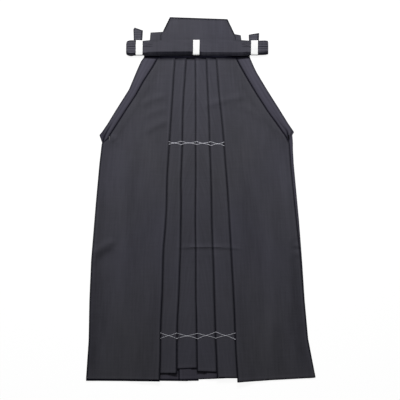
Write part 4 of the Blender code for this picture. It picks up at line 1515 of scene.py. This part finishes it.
def through_nodes(name, lines, tree, values):
    points, edges = [], []
    for line in lines:
        shift = len(points)
        points += [(x * MM, y * MM, z * MM) for x, y, z in line]
        edges += [(shift + k, shift + k + 1) for k in range(len(line) - 1)]
    mesh = bpy.data.meshes.new(name)
    mesh.from_pydata(points, edges, [])
    made = placed(name, mesh)
    modifier = made.modifiers.new("Made", "NODES")
    modifier.node_group = tree
    set_inputs(modifier, values)
    return plain(made, 60.0)


twisted = thread_tree()
basting = through_nodes("BastingThreads", paths, twisted, {
    "Ply Radius": THREAD_RADIUS * MM, "Twist Length": 3.4 * MM, "Step": 0.6 * MM,
    "Material": basting_material})
print("basting thread faces:", len(basting.data.polygons))

# %% [markdown]
# Small stitches in the cloth's own colour run along the edges: beside the rim of the board, beside
# the side openings and above the hem, where the turned-up edge is caught down. A second node tree
# puts a short round bar at even steps along each line, lying along it.

# %% Node tree: row of stitches


def stitch_tree():
    tree, given, curve = new_tree("StitchRow", {"Spacing": 0.004, "Stitch Length": 0.002,
                                                "Radius": 0.0003})
    spots = add_node(tree, "GeometryNodeCurveToPoints",
                     {"Curve": curve, "Length": given["Spacing"]}, mode="LENGTH").outputs
    stitch = add_node(tree, "GeometryNodeMeshCylinder", {
        "Vertices": 6, "Radius": given["Radius"], "Depth": given["Stitch Length"]})
    copies = add_node(tree, "GeometryNodeInstanceOnPoints", {
        "Points": spots["Points"], "Instance": stitch.outputs["Mesh"],
        "Rotation": spots["Rotation"]})
    return end_tree(tree, copies.outputs[0], given["Material"])


stitches = stitch_tree()
print("tree inputs:", [item.name for item in stitches.interface.items_tree])

# %% [markdown]
# The lines for those stitches follow the finished surfaces. On the cloth the height is found
# by looking straight down on it.

# %% Stitch lines
HEM_DEPTH = 32.0
HEM_RUNS = table(
    "x1 x2 y1 y2",
    (-308.0, -118.0, -498.2, -498.2), (-109.0, -70.0, -480.5, -479.7),
    (-61.0, -13.0, -468.0, -465.6), (-4.0, 41.0, -472.2, -475.0),
    (50.0, 97.0, -489.0, -489.3), (106.0, 308.0, -502.3, -488.4),
)


def hem_line(start_x, stop_x, y_start, y_stop):
    count = max(4, int(abs(stop_x - start_x) / 4.0))
    line = []
    for step in range(count + 1):
        share = step / count
        x = start_x + (stop_x - start_x) * share
        y = y_start + (y_stop - y_start) * share
        line.append((x, y, top_at(x, y) + 0.05))
    return line


def stitched(name, lines, spacing, length, radius, material):
    return through_nodes(name, lines, stitches, {
        "Spacing": spacing * MM, "Stitch Length": length * MM, "Radius": radius * MM,
        "Material": material})


hem_lines = [hem_line(run.x1, run.x2, run.y1 + HEM_DEPTH, run.y2 + HEM_DEPTH)
             for run in HEM_RUNS]
hem_stitches = stitched("HemStitches", hem_lines, 9.0, 1.6, 0.22, sewing_material)
opening_lines = []
for side, sign in (("left", 1.0), ("right", -1.0)):
    heights = np.arange(386.0, 174.0, -4.0)
    across = column(FOLD_EDGE, side, heights, 4.0) + sign * 7.5
    opening_lines.append([(x, y, top_at(x, y) + 0.05) for x, y in zip(across, heights)])
opening_stitches = stitched("OpeningStitches", opening_lines, 6.0, 2.2, 0.25, sewing_material)
tack_lines = []
for x, y in ((-250.6, 168.6), (-250.0, 193.0)):
    for k in range(5):
        at = x + (k - 2) * 0.62
        tack_lines.append([(at, y + 4.2 - step * 1.2, top_at(at, y + 4.2 - step * 1.2) + 0.1)
                           for step in range(8)])
tacks = stitched("BarTacks", tack_lines, 2.1, 2.0, 0.26, tack_material)
# A near-black tack stands in for the shade in the gap at the bottom of the right side opening.
shadow_spot_lines = [[(x, 177.0 - step * 1.4, 2.65) for step in range(8)]
              for x in (239.9, 240.6, 241.3, 242.0, 242.7)]
shadow_spot_tack = stitched("PaintedShadowTackAtOpening", shadow_spot_lines, 2.1, 2.0, 0.34, shadow_spot_thread_material)
board_line = [(p.x, p.y, 5.3) for p in ring(BOARD, 6.5, 2.2) if p.y > 444.0]
start = max(range(len(board_line)),
            key=lambda k: (Vector(board_line[k][:2]) - Vector(board_line[k - 1][:2])).length)
board_line = board_line[start:] + board_line[:start]
board_stitches = stitched("BoardStitches", [board_line], 5.0, 2.6, 0.25, sewing_material)
print("stitch faces:", [len(piece.data.polygons) for piece in
                        (hem_stitches, opening_stitches, tacks, shadow_spot_tack, board_stitches)])

# %% [markdown]
# The setting is a plain white floor under soft light. The strongest light comes from beyond
# the waist, as in the photograph, where the cloth is brighter at the top than at the hem and
# the lower edge of each fold is in shade.

# %% Floor and light
FLOOR_HALF = 6.0
FLOOR_LEVEL = -0.0005
floor_mesh = bpy.data.meshes.new("Floor")
corners = [(-1, -1), (1, -1), (1, 1), (-1, 1)]
floor_mesh.from_pydata([(a * FLOOR_HALF, b * FLOOR_HALF, FLOOR_LEVEL) for a, b in corners],
                       [], [(0, 1, 2, 3)])
WHITE = (1.0, 1.0, 1.0, 1.0)
floor_material, floor_tree, floor_shader = new_material("PaleFloor", (0.12, 0.12, 0.12), 0.9)
fill(floor_tree, floor_shader, {
    "Specular IOR Level": 0.1, "Emission Color": WHITE, "Emission Strength": 0.92})
floor_mesh.materials.append(floor_material)
floor = placed("Floor", floor_mesh)


def soft_light(name, place, aim, size, power):
    data = bpy.data.lights.new(name, "AREA")
    data.shape = "RECTANGLE"
    data.size, data.size_y = size
    data.energy = power
    made = placed(name, data)
    made.location = place
    direction = Vector(aim) - Vector(place)
    made.rotation_euler = direction.to_track_quat("-Z", "Y").to_euler()
    return made


soft_light("WindowLight", (-0.1, 1.1, 1.2), (0.0, 0.25, 0.0), (1.3, 0.5), 31.0)
world = bpy.data.worlds.new("Room")
world.use_nodes = True
fill(world.node_tree, world.node_tree.nodes["Background"], {"Color": WHITE, "Strength": 0.18})
bpy.context.scene.world = world

# %% [markdown]
# Last, every piece is tied to the frame. It rides on the one body, and the solid of the same
# name, which it stands for, is hidden.

# %% Tie the pieces to the frame
for name, piece in {**panels, **strips, **flats, **papers, "FrontBand": front_band_object,
                    "TieBundle": bundle}.items():
    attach(piece, "root")
    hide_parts(name)
for piece in (basting, hem_stitches, opening_stitches, tacks, shadow_spot_tack, board_stitches):
    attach(piece, "root")


print("declared", len(panels) + len(strips) + 1, "sheets")

# %% [markdown]
# The folded ties and the flat pieces are cloth as well. Here the lowest and highest corners of
# the box round the imported solids are taken out.


# %% Box round the solids
low, high = CAD_BOX
